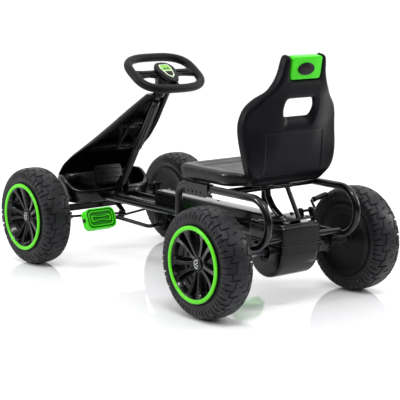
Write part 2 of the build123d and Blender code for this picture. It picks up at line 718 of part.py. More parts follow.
# ================================================================ steering knuckles
knuckle_gap = 0.4
for name, side in (("knuckle_left", 1), ("knuckle_right", -1)):
    with BuildPart() as knuckle:
        with BuildSketch(Plane.XY.offset(bracket_low_z + plate / 2 + knuckle_gap)):
            with Locations((side * kingpin_x, front_axle_y)):
                Circle(11)
        extrude(amount=bracket_top_z - bracket_low_z - plate - 2 * knuckle_gap)
        with BuildSketch(Plane(origin=(side * kingpin_x, front_axle_y, axle_height), x_dir=(0, 1, 0), z_dir=(side, 0, 0))):
            Circle(12)
        extrude(amount=front_half_track - 38.5 - kingpin_x)
        with BuildSketch(Plane(origin=(side * kingpin_x, front_axle_y, axle_height), x_dir=(0, 1, 0), z_dir=(side, 0, 0))):
            Circle(axle_radius)
        extrude(amount=front_half_track + 23 - kingpin_x)
        with BuildSketch(Plane(origin=(side * (front_half_track + 18.5), front_axle_y, axle_height), x_dir=(0, 1, 0), z_dir=(side, 0, 0))):
            RegularPolygon(12, 6)
        extrude(amount=5)
        # steering arm to the rear
        with BuildSketch(Plane.XY.offset(arm_z)):
            with Locations((side * kingpin_x, front_axle_y + arm_length / 2)):
                Rectangle(13, arm_length)
            with Locations((side * kingpin_x, front_axle_y + arm_length)):
                Circle(8)
        extrude(amount=6)
        with BuildSketch(Plane.XY.offset(bracket_low_z)):
            with Locations((side * kingpin_x, front_axle_y)):
                Circle(kingpin_radius + running_gap)
        extrude(amount=100, mode=Mode.SUBTRACT)
        # pin that carries the tie rod under the arm
        with BuildSketch(Plane.XY.offset(arm_z - 16)):
            with Locations((side * kingpin_x, front_axle_y + arm_length)):
                Circle(3)
        extrude(amount=18)
        with BuildSketch(Plane.XY.offset(arm_z - 19)):
            with Locations((side * kingpin_x, front_axle_y + arm_length)):
                Circle(5.5)
        extrude(amount=3)
    knuckle.part.label = name
    export_step(knuckle.part, "parts/" + name + ".step")

# ================================================================ tie rods
# Each rod's outer eye turns on the knuckle's pin; its inner eye is wide, because
# the rod's end may wander a little round the pitman pin.
for name, side, drop in (("tie_rod_left", 1, -9.0), ("tie_rod_right", -1, -19.0)):
    inner = on_column(pitman_s - 2.5 + drop, pitman_length)
    outer = Vector(side * kingpin_x, front_axle_y + arm_length, arm_z - 8)
    start = outer + Vector(-side * 9, 0, 0)
    stop = inner + Vector(side * 11, 0, 0)
    with BuildPart() as tie_rod:
        with BuildLine() as rod_path:
            Line(start, stop)
        with BuildSketch(Plane(origin=start, z_dir=stop - start)):
            Circle(4)
        sweep(path=rod_path.wires()[0])
        with BuildSketch(Plane(origin=outer - Vector(0, 0, 4.5), x_dir=(1, 0, 0), z_dir=(0, 0, 1))):
            Circle(9.5)
        extrude(amount=9)
        with BuildSketch(Plane(origin=inner - column_dir * 3.5, x_dir=(1, 0, 0), z_dir=column_dir)):
            Circle(11.5)
        extrude(amount=7)
        with BuildSketch(Plane(origin=outer - Vector(0, 0, 12), x_dir=(1, 0, 0), z_dir=(0, 0, 1))):
            Circle(3 + running_gap)
        extrude(amount=24, mode=Mode.SUBTRACT)
        with BuildSketch(Plane(origin=inner - column_dir * 12, x_dir=(1, 0, 0), z_dir=column_dir)):
            Circle(7.5)
        extrude(amount=24, mode=Mode.SUBTRACT)
    tie_rod.part.label = name
    export_step(tie_rod.part, "parts/" + name + ".step")

# ================================================================ hand brake
with BuildPart() as brake_lever:
    with BuildLine() as lever_path:
        FilletPolyline(
            (-42, brake_pivot_y, brake_pivot_z), (-106, brake_pivot_y, brake_pivot_z),
            (-130, 394, 268), (-218, 358, 271), radius=12,
        )
    with BuildSketch(Plane(origin=(-42, brake_pivot_y, brake_pivot_z), x_dir=(0, 1, 0), z_dir=(-1, 0, 0))):
        Circle(brake_rod_radius)
    sweep(path=lever_path.wires()[0])
    with BuildSketch(Plane(origin=(-42, brake_pivot_y, brake_pivot_z), x_dir=(0, 1, 0), z_dir=(-1, 0, 0))):
        Circle(7)
    extrude(amount=4)
brake_lever.part.label = "brake_lever"
export_step(brake_lever.part, "parts/brake_lever.step")

grip_start, grip_end = Vector(-143, 388.68, 268.44), Vector(-222, 356.36, 271.14)
with BuildPart() as brake_grip:
    with BuildSketch(Plane(origin=grip_start, z_dir=grip_end - grip_start)):
        Circle(7.5)
    extrude(amount=(grip_end - grip_start).length)
    add(brake_lever.part, mode=Mode.SUBTRACT)
brake_grip.part.label = "brake_grip"
export_step(brake_grip.part, "parts/brake_grip.step")

with BuildPart() as brake_shoe:
    with BuildSketch(Plane(origin=(-92, 0, 0), x_dir=(0, 1, 0), z_dir=(1, 0, 0))):
        with BuildLine():
            Polyline((brake_pivot_y - 9, brake_pivot_z), (brake_pivot_y + 9, brake_pivot_z), (480, 160), (478, 144), (471, 144), (466, 164), close=True)
        make_face()
        with Locations((brake_pivot_y, brake_pivot_z)):
            Circle(9)
        with Locations((brake_pivot_y, brake_pivot_z)):
            Circle(brake_rod_radius, mode=Mode.SUBTRACT)
    extrude(amount=6)
    with BuildSketch(Plane(origin=(-98, 0, 0), x_dir=(0, 1, 0), z_dir=(1, 0, 0))):
        with Locations((474.5, 157)):
            RectangleRounded(8, 30, 2)
    extrude(amount=18)
brake_shoe.part.label = "brake_shoe"
export_step(brake_shoe.part, "parts/brake_shoe.step")

# ================================================================ wheels
# Every wheel is a turned set placed on its own plane: local x points outboard,
# local y is the radius.
wheel_places = (
    ("front_left", front_half_track, front_axle_y, 1, axle_radius + running_gap),
    ("front_right", -front_half_track, front_axle_y, -1, axle_radius + running_gap),
    ("rear_left", rear_half_track, rear_axle_y, 1, axle_radius),
    ("rear_right", -rear_half_track, rear_axle_y, -1, axle_radius + running_gap),
)
for corner, wx, wy, side, bore in wheel_places:
    radial = Plane(origin=(wx, wy, axle_height), x_dir=(side, 0, 0), z_dir=(0, -side, 0))
    spin = Axis((wx, wy, axle_height), (1, 0, 0))

    with BuildPart() as tyre:
        with BuildSketch(radial):
            with BuildLine():
                Polyline((32, 96), (39.5, 96), (40.5, 103))
                Spline((40.5, 103), (45, 115), (44.5, 134), (36, 146.5), (16, 149.7), (0, 150), (-16, 149.7), (-36, 146.5), (-44.5, 134), (-45, 115), (-40.5, 103))
                Polyline((-40.5, 103), (-39.5, 96), (-32, 96), (-34, 108))
                Spline((-34, 108), (-39, 116), (-38, 132), (-28, 141), (0, 143), (28, 141), (38, 132), (39, 116), (34, 108))
                Line((34, 108), (32, 96))
            make_face()
        revolve(axis=spin)
    tyre.part.label = corner + "_tyre"
    export_step(tyre.part, "parts/" + corner + "_tyre.step")

    with BuildPart() as rim:
        with BuildSketch(radial):
            with BuildLine():
                Polyline(
                    (-38, bore), (18, bore), (18, hub_radius), (-28, hub_radius), (-31, 90), (39.5, 90),
                    (44, 90), (44, 102), (40.5, 102), (39.5, 96), (-39.5, 96), (-40.5, 102), (-44, 102), (-44, 92), (-35, 84), (-32, hub_radius), (-38, hub_radius), close=True,
                )
            make_face()
        revolve(axis=spin)
    rim.part.label = corner + "_rim"
    export_step(rim.part, "parts/" + corner + "_rim.step")

    with BuildPart() as cover:
        with BuildSketch(radial):
            with BuildLine():
                Polyline((26, 0), (29, 0), (29, 26), (31, 76), (44, 87), (47, 90), (47, 102), (44, 102), (44, 89.8), (41, 89.5), (28, 79), (26, 28), close=True)
            make_face()
        revolve(axis=spin)
        # ten raised blades from the centre to the rim
        face_plane = Plane(origin=(wx + side * 29, wy, axle_height), x_dir=(0, 1, 0), z_dir=(side, 0, 0))
        with BuildSketch(face_plane):
            with PolarLocations(54, 10):
                Trapezoid(50, 9, 86)
        extrude(amount=9)
    cover.part.label = corner + "_wheel_cover"
    export_step(cover.part, "parts/" + corner + "_wheel_cover.step")

    with BuildPart() as trim_ring:
        with BuildSketch(radial):
            with BuildLine():
                Polyline((47, ring_inner_radius), (47, ring_outer_radius), (50, ring_outer_radius), (52, ring_outer_radius - 3), (52, ring_inner_radius + 3), (50, ring_inner_radius), close=True)
            make_face()
        revolve(axis=spin)
    trim_ring.part.label = corner + "_trim_ring"
    export_step(trim_ring.part, "parts/" + corner + "_trim_ring.step")

    with BuildPart() as cap:
        with BuildSketch(radial):
            with BuildLine():
                Polyline((29, 0), (29, 18), (33, 18), (35, 15), (35.5, 0), close=True)
            make_face()
        revolve(axis=spin)
    cap.part.label = corner + "_hub_cap"
    export_step(cap.part, "parts/" + corner + "_hub_cap.step")

# ================================================================ seat
back_up = Vector(0, math.sin(math.radians(back_tilt)), math.cos(math.radians(back_tilt)))
back_forward = Vector(0, -math.cos(math.radians(back_tilt)), math.sin(math.radians(back_tilt)))
back_plane = Plane(origin=(0, back_foot_y, back_foot_z), x_dir=(1, 0, 0), z_dir=back_forward)
side_points = ((129, 5), (141, 20), (152, 40), (160, 70), (165, 102), (167, 144), (163, 176), (150, 205), (120, 236), (93, 266), (79, 297), (74, 325), (70, 341), (65, 347))
with BuildPart() as seat_back:
    with BuildSketch(back_plane) as silhouette:
        with BuildLine():
            Line((-120, 0), (120, 0))
            Spline((120, 0), *side_points, (60, 348))
            Polyline((60, 348), (52, 347), (52, 284), (-52, 284), (-52, 347), (-60, 348))
            Spline((-60, 348), *[(-x, y) for x, y in reversed(side_points)], (-120, 0))
        make_face()
        with BuildLine():
            FilletPolyline((-52, 231), (52, 231), (60, 196), (50, 160), (-50, 160), (-60, 196), radius=14, close=True)
        make_face(mode=Mode.SUBTRACT)
    extrude(amount=back_thickness)
    # dish in the rider's side
    with BuildSketch(back_plane.offset(back_thickness - 20)):
        with Locations((0, 92)):
            RectangleRounded(262, 118, 40)
    extrude(amount=40, mode=Mode.SUBTRACT)
seat_back.part.label = "seat_back"
export_step(seat_back.part, "parts/seat_back.step")

with BuildPart() as headrest_insert:
    with BuildSketch(back_plane.offset(-2)):
        with Locations((0, 315)):
            Rectangle(104, 62)
    extrude(amount=30)
headrest_insert.part.label = "headrest_insert"
export_step(headrest_insert.part, "parts/headrest_insert.step")

with BuildPart() as headrest_badge:
    with BuildSketch(back_plane.offset(-2)):
        with Locations((0, 314)):
            Ellipse(29, 16)
    extrude(amount=-3)
headrest_badge.part.label = "headrest_badge"
export_step(headrest_badge.part, "parts/headrest_badge.step")

with BuildPart() as seat_base:
    with BuildSketch(Plane.XY.offset(seat_bottom_z)):
        with Locations((0, (seat_front_y + 428) / 2)):
            RectangleRounded(2 * seat_half_width, 428 - seat_front_y, 26)
    extrude(amount=seat_top_z - seat_bottom_z)
    fillet(seat_base.faces().sort_by(Axis.Z)[-1].edges(), 12)
    with BuildSketch(Plane.XY.offset(seat_bottom_z)):
        with Locations((0, 278)):
            RectangleRounded(290, 240, 20)
    extrude(amount=seat_top_z - seat_bottom_z - 8, mode=Mode.SUBTRACT)
    # shallow grooves across the sitting surface
    with BuildSketch(Plane.XY.offset(seat_top_z - 2)):
        with Locations(*[(0, 185 + 34 * i) for i in range(6)]):
            Rectangle(230, 4)
    extrude(amount=4, mode=Mode.SUBTRACT)
    add(seat_back.part, mode=Mode.SUBTRACT)
seat_base.part.label = "seat_base"
export_step(seat_base.part, "parts/seat_base.step")

# Saddles that ride along the top of both loops, with a hanging side plate.
with BuildPart() as seat_brackets:
    for side in (1, -1):
        with BuildSketch(Plane(origin=(side * (loop_x + loop_radius + 1), 0, 0), x_dir=(0, 1, 0), z_dir=(1, 0, 0))):
            with BuildLine():
                Polyline((205, seat_bottom_z), (205, 302), (213, 294), (297, 294), (305, 302), (305, seat_bottom_z), close=True)
            make_face()
            with Locations((222, 306), (240, 306), (258, 306), (276, 306)):
                Circle(3.5, mode=Mode.SUBTRACT)
        extrude(amount=3 * side)
        with BuildSketch(Plane.XY.offset(seat_bottom_z - 2)):
            with Locations((side * 162, 255)):
                Rectangle(25, 100)
        extrude(amount=2)
    with BuildSketch(Plane(origin=(0, 100, loop_top_z), x_dir=(1, 0, 0), z_dir=(0, 1, 0))):
        with Locations((loop_x, 0), (-loop_x, 0)):
            Circle(loop_radius + running_gap)
    extrude(amount=400, mode=Mode.SUBTRACT)
seat_brackets.part.label = "seat_brackets"
export_step(seat_brackets.part, "parts/seat_brackets.step")
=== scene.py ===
import bpy, math
import numpy as np
from mathutils import Vector, Matrix


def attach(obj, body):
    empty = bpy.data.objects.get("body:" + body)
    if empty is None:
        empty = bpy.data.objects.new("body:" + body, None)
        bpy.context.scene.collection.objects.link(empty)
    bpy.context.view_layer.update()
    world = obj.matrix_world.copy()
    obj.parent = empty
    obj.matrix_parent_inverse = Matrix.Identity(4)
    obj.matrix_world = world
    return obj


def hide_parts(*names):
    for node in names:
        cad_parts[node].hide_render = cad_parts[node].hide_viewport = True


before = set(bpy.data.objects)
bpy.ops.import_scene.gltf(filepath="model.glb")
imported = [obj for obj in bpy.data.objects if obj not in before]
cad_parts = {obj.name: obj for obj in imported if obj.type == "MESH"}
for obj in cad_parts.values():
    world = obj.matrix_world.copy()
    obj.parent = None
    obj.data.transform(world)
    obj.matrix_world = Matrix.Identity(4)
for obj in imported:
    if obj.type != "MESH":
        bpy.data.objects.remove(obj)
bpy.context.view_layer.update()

MM = 0.001

# ------------------------------------------------------------------ camera
AZ, EL = math.radians(142.291), math.radians(9.797)
cam_data = bpy.data.cameras.new("camera")
camera = bpy.data.objects.new("camera", cam_data)
bpy.context.scene.collection.objects.link(camera)
back_dir = Vector((math.sin(AZ) * math.cos(EL), -math.cos(AZ) * math.cos(EL), math.sin(EL)))
camera.location = Vector((0, 0, 0.25)) + back_dir * 3.9754
camera.rotation_mode = "QUATERNION"
camera.rotation_quaternion = (-back_dir).to_track_quat("-Z", "Y")
cam_data.sensor_width = 36.0
cam_data.lens = 119.75
cam_data.shift_x = 0.0272
cam_data.shift_y = -0.0184
cam_data.clip_start, cam_data.clip_end = 0.05, 200.0
bpy.context.scene.camera = camera


# ------------------------------------------------------------------ materials
def link(t, a, b):
    t.links.new(a, b)


def surface(name, colour, rough, metallic=0.0, spec=0.5, var=0.18, var_scale=9.0, rough_var=0.1, rough_scale=30.0,
            bump=0.0, bump_scale=900.0, bump_dist=0.0004, coat=0.0, coat_rough=0.08, streak=(1, 1, 1), grain="noise", tint=None):
    """Principled surface whose colour, gloss and fine relief vary over the piece."""
    m = bpy.data.materials.new(name)
    m.use_nodes = True
    t = m.node_tree
    n = t.nodes
    bs = n["Principled BSDF"]
    tc = n.new("ShaderNodeTexCoord")
    mp = n.new("ShaderNodeMapping")
    mp.inputs["Scale"].default_value = streak
    link(t, tc.outputs["Object"], mp.inputs["Vector"])
    big = n.new("ShaderNodeTexNoise")
    big.inputs["Scale"].default_value = var_scale
    big.inputs["Detail"].default_value = 6
    link(t, mp.outputs[0], big.inputs["Vector"])
    ramp = n.new("ShaderNodeValToRGB")
    lo = [c * (1 - var) for c in colour]
    hi = [min(1, c * (1 + var)) for c in (tint or colour)]
    ramp.color_ramp.elements[0].position = 0.3
    ramp.color_ramp.elements[1].position = 0.7
    ramp.color_ramp.elements[0].color = (*lo, 1)
    ramp.color_ramp.elements[1].color = (*hi, 1)
    link(t, big.outputs[0], ramp.inputs[0])
    link(t, ramp.outputs[0], bs.inputs["Base Color"])
    sm = n.new("ShaderNodeTexNoise")
    sm.inputs["Scale"].default_value = rough_scale
    sm.inputs["Detail"].default_value = 8
    link(t, mp.outputs[0], sm.inputs["Vector"])
    rr = n.new("ShaderNodeMapRange")
    rr.inputs["From Min"].default_value = 0.3
    rr.inputs["From Max"].default_value = 0.7
    rr.inputs["To Min"].default_value = max(0.02, rough - rough_var)
    rr.inputs["To Max"].default_value = min(1, rough + rough_var)
    link(t, sm.outputs[0], rr.inputs["Value"])
    link(t, rr.outputs[0], bs.inputs["Roughness"])
    bs.inputs["Metallic"].default_value = metallic
    bs.inputs["Specular IOR Level"].default_value = spec
    bs.inputs["Coat Weight"].default_value = coat
    bs.inputs["Coat Roughness"].default_value = coat_rough
    if bump:
        if grain == "cell":
            fine = n.new("ShaderNodeTexVoronoi")
            fine.inputs["Scale"].default_value = bump_scale
        else:
            fine = n.new("ShaderNodeTexNoise")
            fine.inputs["Scale"].default_value = bump_scale
            fine.inputs["Detail"].default_value = 4
        link(t, mp.outputs[0], fine.inputs["Vector"])
        bp = n.new("ShaderNodeBump")
        bp.inputs["Strength"].default_value = bump
        bp.inputs["Distance"].default_value = bump_dist
        link(t, fine.outputs[0], bp.inputs["Height"])
        link(t, bp.outputs[0], bs.inputs["Normal"])
    return m


M = {
    "powder": surface("powder_black", (0.0028, 0.0028, 0.0032), 0.20, spec=0.26, coat=0.10, coat_rough=0.05, bump=0.10, bump_scale=700, rough_var=0.06),
    "satin": surface("satin_black", (0.0024, 0.0023, 0.0028), 0.30, spec=0.13, bump=0.15, bump_scale=1100, rough_var=0.08, tint=(0.0034, 0.0030, 0.0038)),
    "case": surface("case_black", (0.0026, 0.0025, 0.0030), 0.17, spec=0.20, bump=0.07, bump_scale=500, rough_var=0.06, coat=0.06),
    "lid": surface("case_lid", (0.0045, 0.0042, 0.0042), 0.13, spec=0.60, bump=0.05, bump_scale=400, rough_var=0.05, coat=0.35),
    "tray": surface("tray_black", (0.0030, 0.0029, 0.0036), 0.24, spec=0.30, bump=0.08, bump_scale=700, rough_var=0.06, coat=0.12, coat_rough=0.12),
    "seat": surface("seat_black", (0.0034, 0.0031, 0.0044), 0.34, spec=0.075, bump=0.26, bump_scale=950, rough_var=0.07, grain="cell"),
    "cushion": surface("cushion_black", (0.0048, 0.0044, 0.0050), 0.28, spec=0.28, bump=0.09, bump_scale=950, rough_var=0.07, grain="cell"),
    "cover": surface("cover_gloss", (0.0020, 0.0020, 0.0023), 0.18, spec=0.24, coat=0.06, rough_var=0.06, rough_scale=14, bump=0.05, bump_scale=300),
    "rim": surface("rim_black", (0.0034, 0.0034, 0.0040), 0.40, spec=0.12, bump=0.1, bump_scale=800),
    "tyre": surface("tyre_rubber", (0.0100, 0.0098, 0.0116), 0.42, var=0.3, var_scale=22, bump=0.3, bump_scale=1400, rough_var=0.1, spec=0.16, tint=(0.0145, 0.0142, 0.0165)),
    "ring": surface("green_ring", (0.095, 0.560, 0.016), 0.26, spec=0.16, var=0.10, coat=0.04, bump=0.05, bump_scale=500, rough_var=0.06),
    "green": surface("green_plastic", (0.042, 0.520, 0.006), 0.24, spec=0.16, var=0.10, coat=0.06, bump=0.06, bump_scale=600, rough_var=0.06),
    # darker copy of the pedal green: painted shade for the recesses between the pedal ribs, the same plastic as the
    # ribs
    "green_painted_shade": surface("pedal_recess_painted_shade", (0.010, 0.150, 0.003), 0.34, spec=0.10, var=0.14, bump=0.06, bump_scale=600, rough_var=0.06),
    "emblem": surface("pale_emblem", (0.50, 0.52, 0.54), 0.28, metallic=0.85, var=0.1, rough_var=0.08, bump=0.04),
    "badge": surface("badge_dark", (0.0020, 0.0016, 0.0040), 0.10, spec=0.12, coat=0.08, var=0.3, rough_var=0.05, bump=0.03),
    "badge_red": surface("badge_centre", (0.016, 0.0025, 0.0040), 0.15, spec=0.12, coat=0.05, var=0.3, rough_var=0.05, bump=0.03),
    "shield": surface("shield_green", (0.17, 0.44, 0.05), 0.25, spec=0.25, var=0.08, coat=0.1, rough_var=0.06, bump=0.03),
    "shield_pale": surface("shield_pale", (0.55, 0.66, 0.46), 0.3, spec=0.25, var=0.06, coat=0.1, rough_var=0.06, bump=0.03),
    "grip": surface("soft_grip", (0.0038, 0.0036, 0.0044), 0.40, spec=0.14, bump=0.35, bump_scale=1300, rough_var=0.08, grain="cell"),
    "zinc": surface("zinc_plate", (0.30, 0.31, 0.34), 0.28, metallic=1.0, var=0.12, var_scale=40, rough_var=0.1, bump=0.08, bump_scale=800),
    "chain": surface("oiled_steel", (0.14, 0.14, 0.15), 0.34, metallic=1.0, var=0.25, var_scale=60, rough_var=0.12, bump=0.1),
    "nylon": surface("nylon_dark", (0.008, 0.008, 0.009), 0.45, spec=0.15, var=0.2, bump=0.05),
}

CAD_FINISH = {
    "main_frame": "powder", "front_axle_beam": "powder", "knuckle_left": "powder", "knuckle_right": "powder",
    "kingpins": "zinc", "frame_bolts": "zinc", "case_screws": "zinc", "rear_axle": "zinc", "rear_bearings": "powder",
    "crank_bushes": "nylon", "drive_chain": "chain", "chainring": "chain", "rear_sprocket": "chain",
    "tie_rod_left": "powder", "tie_rod_right": "powder", "steering_shaft": "powder", "brake_shoe": "powder",
    "seat_brackets": "powder", "steering_column": "powder",
}


# ------------------------------------------------------------------ mesh tools
def finish_piece(ob, mat, body, nodes=(), smooth=35.0):
    me = ob.data
    if ob.type == "MESH":
        me.polygons.foreach_set("use_smooth", [True] * len(me.polygons))
        if smooth:
            me.set_sharp_from_angle(angle=math.radians(smooth))
        me.update()
    if not me.materials:
        me.materials.append(M[mat])
    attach(ob, body)
    if nodes:
        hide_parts(*nodes)
    return ob


def mesh_object(name, verts, faces, mm=True):
    me = bpy.data.meshes.new(name)
    v = np.asarray(verts, dtype=float) * (MM if mm else 1.0)
    me.from_pydata(v.tolist(), [], [list(map(int, f)) for f in faces])
    me.validate()
    me.update()
    ob = bpy.data.objects.new(name, me)
    bpy.context.scene.collection.objects.link(ob)
    return ob


def grid_faces(nu, nv, close_u=False, close_v=False, flip=False):
    f = []
    for i in range(nu if close_u else nu - 1):
        i2 = (i + 1) % nu
        for j in range(nv if close_v else nv - 1):
            j2 = (j + 1) % nv
            q = (i * nv + j, i2 * nv + j, i2 * nv + j2, i * nv + j2)
            f.append(q[::-1] if flip else q)
    return f


def recalc(ob):
    import bmesh
    bm = bmesh.new()
    bm.from_mesh(ob.data)
    bmesh.ops.recalc_face_normals(bm, faces=bm.faces)
    bm.to_mesh(ob.data)
    bm.free()
    return ob


def smooth_step(a, b, x):
    t = np.clip((np.asarray(x, float) - a) / (b - a), 0, 1)
    return t * t * (3 - 2 * t)


def resample(pts, step):
    p = np.asarray(pts, float)
    d = np.r_[0, np.cumsum(np.linalg.norm(np.diff(p, axis=0), axis=1))]
    n = max(2, int(round(d[-1] / step)) + 1)
    s = np.linspace(0, d[-1], n)
    return np.stack([np.interp(s, d, p[:, k]) for k in range(p.shape[1])], 1)


def corner_path(pts, radii, steps=10, closed=False):
    """Polyline with its corners rounded by arcs."""
    p = [np.asarray(q, float) for q in pts]
    n = len(p)
    out = []
    rng_i = range(n) if closed else range(1, n - 1)
    if not closed:
        out.append(p[0])
    for i in rng_i:
        a, b, c = p[i - 1], p[i], p[(i + 1) % n]
        r = radii[i] if hasattr(radii, "__len__") else radii
        u, v = (a - b) / np.linalg.norm(a - b), (c - b) / np.linalg.norm(c - b)
        ang = math.acos(np.clip(u @ v, -1, 1))
        if r <= 0 or ang > math.pi - 1e-3:
            out.append(b)
            continue
        t = r / math.tan(ang / 2)
        bis = (u + v) / np.linalg.norm(u + v)
        centre = b + bis * (r / math.sin(ang / 2))
        s, e = b + u * t - centre, b + v * t - centre
        tot = math.acos(np.clip((s @ e) / r / r, -1, 1))
        for k in range(steps + 1):
            f = k / steps
            out.append(centre + (math.sin((1 - f) * tot) * s + math.sin(f * tot) * e) / math.sin(tot))
    if not closed:
        out.append(p[-1])
    return np.array(out)


def tube(name, path, radius, mat, body, nodes=(), seg=28, closed=False, end_round=0.0, scale=None):
    """Round tube swept along a path by parallel transport, its ends capped and softened."""
    p = np.asarray(path, float)
    n = len(p)
    tan = np.gradient(p, axis=0) if not closed else (np.roll(p, -1, 0) - np.roll(p, 1, 0))
    tan /= np.linalg.norm(tan, axis=1)[:, None]
    ref = np.array([0, 0, 1.0]) if abs(tan[0][2]) < 0.9 else np.array([1.0, 0, 0])
    u = np.cross(tan[0], ref); u /= np.linalg.norm(u)
    rings = []
    rad = np.full(n, float(radius)) if scale is None else radius * np.asarray(scale, float)
    us = []
    for i in range(n):
        u = u - tan[i] * (u @ tan[i]); u /= np.linalg.norm(u)
        us.append(u.copy())
    if closed:
        # spread the small twist left after one lap
        w0 = np.cross(tan[0], us[0])
        end = us[-1] - tan[0] * (us[-1] @ tan[0]); end /= np.linalg.norm(end)
        twist = math.atan2(end @ w0, end @ us[0])
    else:
        twist = 0.0
    a = np.linspace(0, 2 * math.pi, seg, endpoint=False)
    for i in range(n):
        w = np.cross(tan[i], us[i])
        aa = a - twist * i / n
        rings.append(p[i] + rad[i] * (np.cos(aa)[:, None] * us[i] + np.sin(aa)[:, None] * w))
    if not closed:
        b = min(radius * 0.25, 1.5)
        first = [p[0] + (rings[0] - p[0]) * f + tan[0] * o for f, o in ((0.02, 0), (1 - b / radius, 0))]
        last = [p[-1] + (rings[-1] - p[-1]) * f + tan[-1] * o for f, o in ((1 - b / radius, 0), (0.02, 0))]
        rings[0] = rings[0] + tan[0] * b
        rings[-1] = rings[-1] - tan[-1] * b
        rings = first + rings + last
    v = np.concatenate(rings)
    f = grid_faces(len(rings), seg, close_u=closed, close_v=True)
    if not closed:
        f.append(tuple(range(seg))[::-1])
        f.append(tuple((len(rings) - 1) * seg + k for k in range(seg)))
    ob = mesh_object(name, v, f)
    recalc(ob)
    return finish_piece(ob, mat, body, nodes)


def plate(name, outlines, thickness, bevel, matrix, mat, body, nodes=(), res=3, smooth=40.0, keep=False):
    """Flat shape with rounded edges from closed outlines (the later ones are holes). Local z is the thickness, centred."""
    cu = bpy.data.curves.new(name + "_c", "CURVE")
    cu.dimensions = "2D"
    cu.fill_mode = "BOTH"
    for o in outlines:
        sp = cu.splines.new("POLY")
        sp.points.add(len(o) - 1)
        for k, q in enumerate(o):
            sp.points[k].co = (q[0] * MM, q[1] * MM, 0, 1)
        sp.use_cyclic_u = True
    cu.extrude = max(0.00001, (thickness / 2 - bevel) * MM)
    cu.bevel_depth = bevel * MM
    cu.bevel_resolution = res
    cu.offset = -bevel * MM
    tmp = bpy.data.objects.new(name + "_c", cu)
    bpy.context.scene.collection.objects.link(tmp)
    dg = bpy.context.evaluated_depsgraph_get()
    me = bpy.data.meshes.new_from_object(tmp.evaluated_get(dg))
    bpy.data.objects.remove(tmp)
    bpy.data.curves.remove(cu)
    me.name = name
    me.materials.clear()
    ob = bpy.data.objects.new(name, me)
    bpy.context.scene.collection.objects.link(ob)
    import bmesh
    bm = bmesh.new(); bm.from_mesh(me)
    bmesh.ops.remove_doubles(bm, verts=bm.verts, dist=0.00002)
    bmesh.ops.recalc_face_normals(bm, faces=bm.faces)
    bm.to_mesh(me); bm.free()
    if not keep:
        me.transform(matrix)
        finish_piece(ob, mat, body, nodes, smooth)
    return ob


def remesh_dense(ob, voxel, relax=4):
    """Even mesh from a rough one, so that it can be sculpted by formula."""
    m = ob.modifiers.new("r", "REMESH")
    m.mode = "VOXEL"
    m.voxel_size = voxel * MM
    s = ob.modifiers.new("s", "SMOOTH")
    s.iterations = relax
    s.factor = 0.5
    dg = bpy.context.evaluated_depsgraph_get()
    me = bpy.data.meshes.new_from_object(ob.evaluated_get(dg))
    ob.modifiers.clear()
    old = ob.data
    ob.data = me
    bpy.data.meshes.remove(old)
    return ob


def coords(ob):
    a = np.empty(len(ob.data.vertices) * 3)
    ob.data.vertices.foreach_get("co", a)
    return a.reshape(-1, 3) / MM


def set_coords(ob, a):
    ob.data.vertices.foreach_set("co", (np.asarray(a) * MM).ravel())
    ob.data.update()


def normals(ob):
    a = np.empty(len(ob.data.vertices) * 3)
    ob.data.vertices.foreach_get("normal", a)
    return a.reshape(-1, 3)


def lathe(name, profile, seg, place, mat, body, nodes=(), smooth=30.0, cap=False):
    """Turned piece: profile of (u along the axle outboard, radius), closed by itself."""
    p = np.asarray(profile, float)
    a = np.linspace(0, 2 * math.pi, seg, endpoint=False)
    v = np.zeros((seg, len(p), 3))
    v[:, :, 0] = p[None, :, 0]
    v[:, :, 1] = p[None, :, 1] * np.cos(a)[:, None]
    v[:, :, 2] = p[None, :, 1] * np.sin(a)[:, None]
    f = grid_faces(seg, len(p), close_u=True, close_v=False)
    ob = mesh_object(name, v.reshape(-1, 3), f)
    import bmesh
    bm = bmesh.new(); bm.from_mesh(ob.data)
    bmesh.ops.remove_doubles(bm, verts=bm.verts, dist=0.00001)
    bmesh.ops.recalc_face_normals(bm, faces=bm.faces)
    bm.to_mesh(ob.data); bm.free()
    if place is None:
        return ob
    ob.data.transform(place)
    return finish_piece(ob, mat, body, nodes, smooth)


def fillet2d(pts, radii, steps=6, closed=False):
    return corner_path([(*q, 0) for q in pts], radii, steps, closed)[:, :2]


def rounded_rect(w, h, r, steps=8):
    return fillet2d([(-w / 2, -h / 2), (w / 2, -h / 2), (w / 2, h / 2), (-w / 2, h / 2)], r, steps, True)


def superellipse(a, b, n, count=96, centre=(0, 0)):
    t = np.linspace(0, 2 * math.pi, count, endpoint=False)
    c, s = np.cos(t), np.sin(t)
    return np.stack([centre[0] + a * np.sign(c) * np.abs(c) ** (2 / n), centre[1] + b * np.sign(s) * np.abs(s) ** (2 / n)], 1)


def frame_matrix(origin, x, y, z):
    m = Matrix.Identity(4)
    for i, v in enumerate((x, y, z)):
        for k in range(3):
            m[k][i] = v[k]
    for k in range(3):
        m[k][3] = origin[k] * MM
    return m


def join(name, obs):
    """One object from several meshes, each keeping its own material."""
    import bmesh
    mats, bm = [], bmesh.new()
    for o in obs:
        idx = {}
        for i, s in enumerate(o.data.materials):
            if s not in mats:
                mats.append(s)
            idx[i] = mats.index(s)
        start = len(bm.faces)
        bm.from_mesh(o.data)
        bm.faces.ensure_lookup_table()
        for f in bm.faces[start:]:
            f.material_index = idx.get(f.material_index, 0)
    me = bpy.data.meshes.new(name)
    bm.to_mesh(me); bm.free()
    for s in mats:
        me.materials.append(s)
    for o in obs:
        d = o.data
        bpy.data.objects.remove(o)
        bpy.data.meshes.remove(d)
    ob = bpy.data.objects.new(name, me)
    bpy.context.scene.collection.objects.link(ob)
    return ob


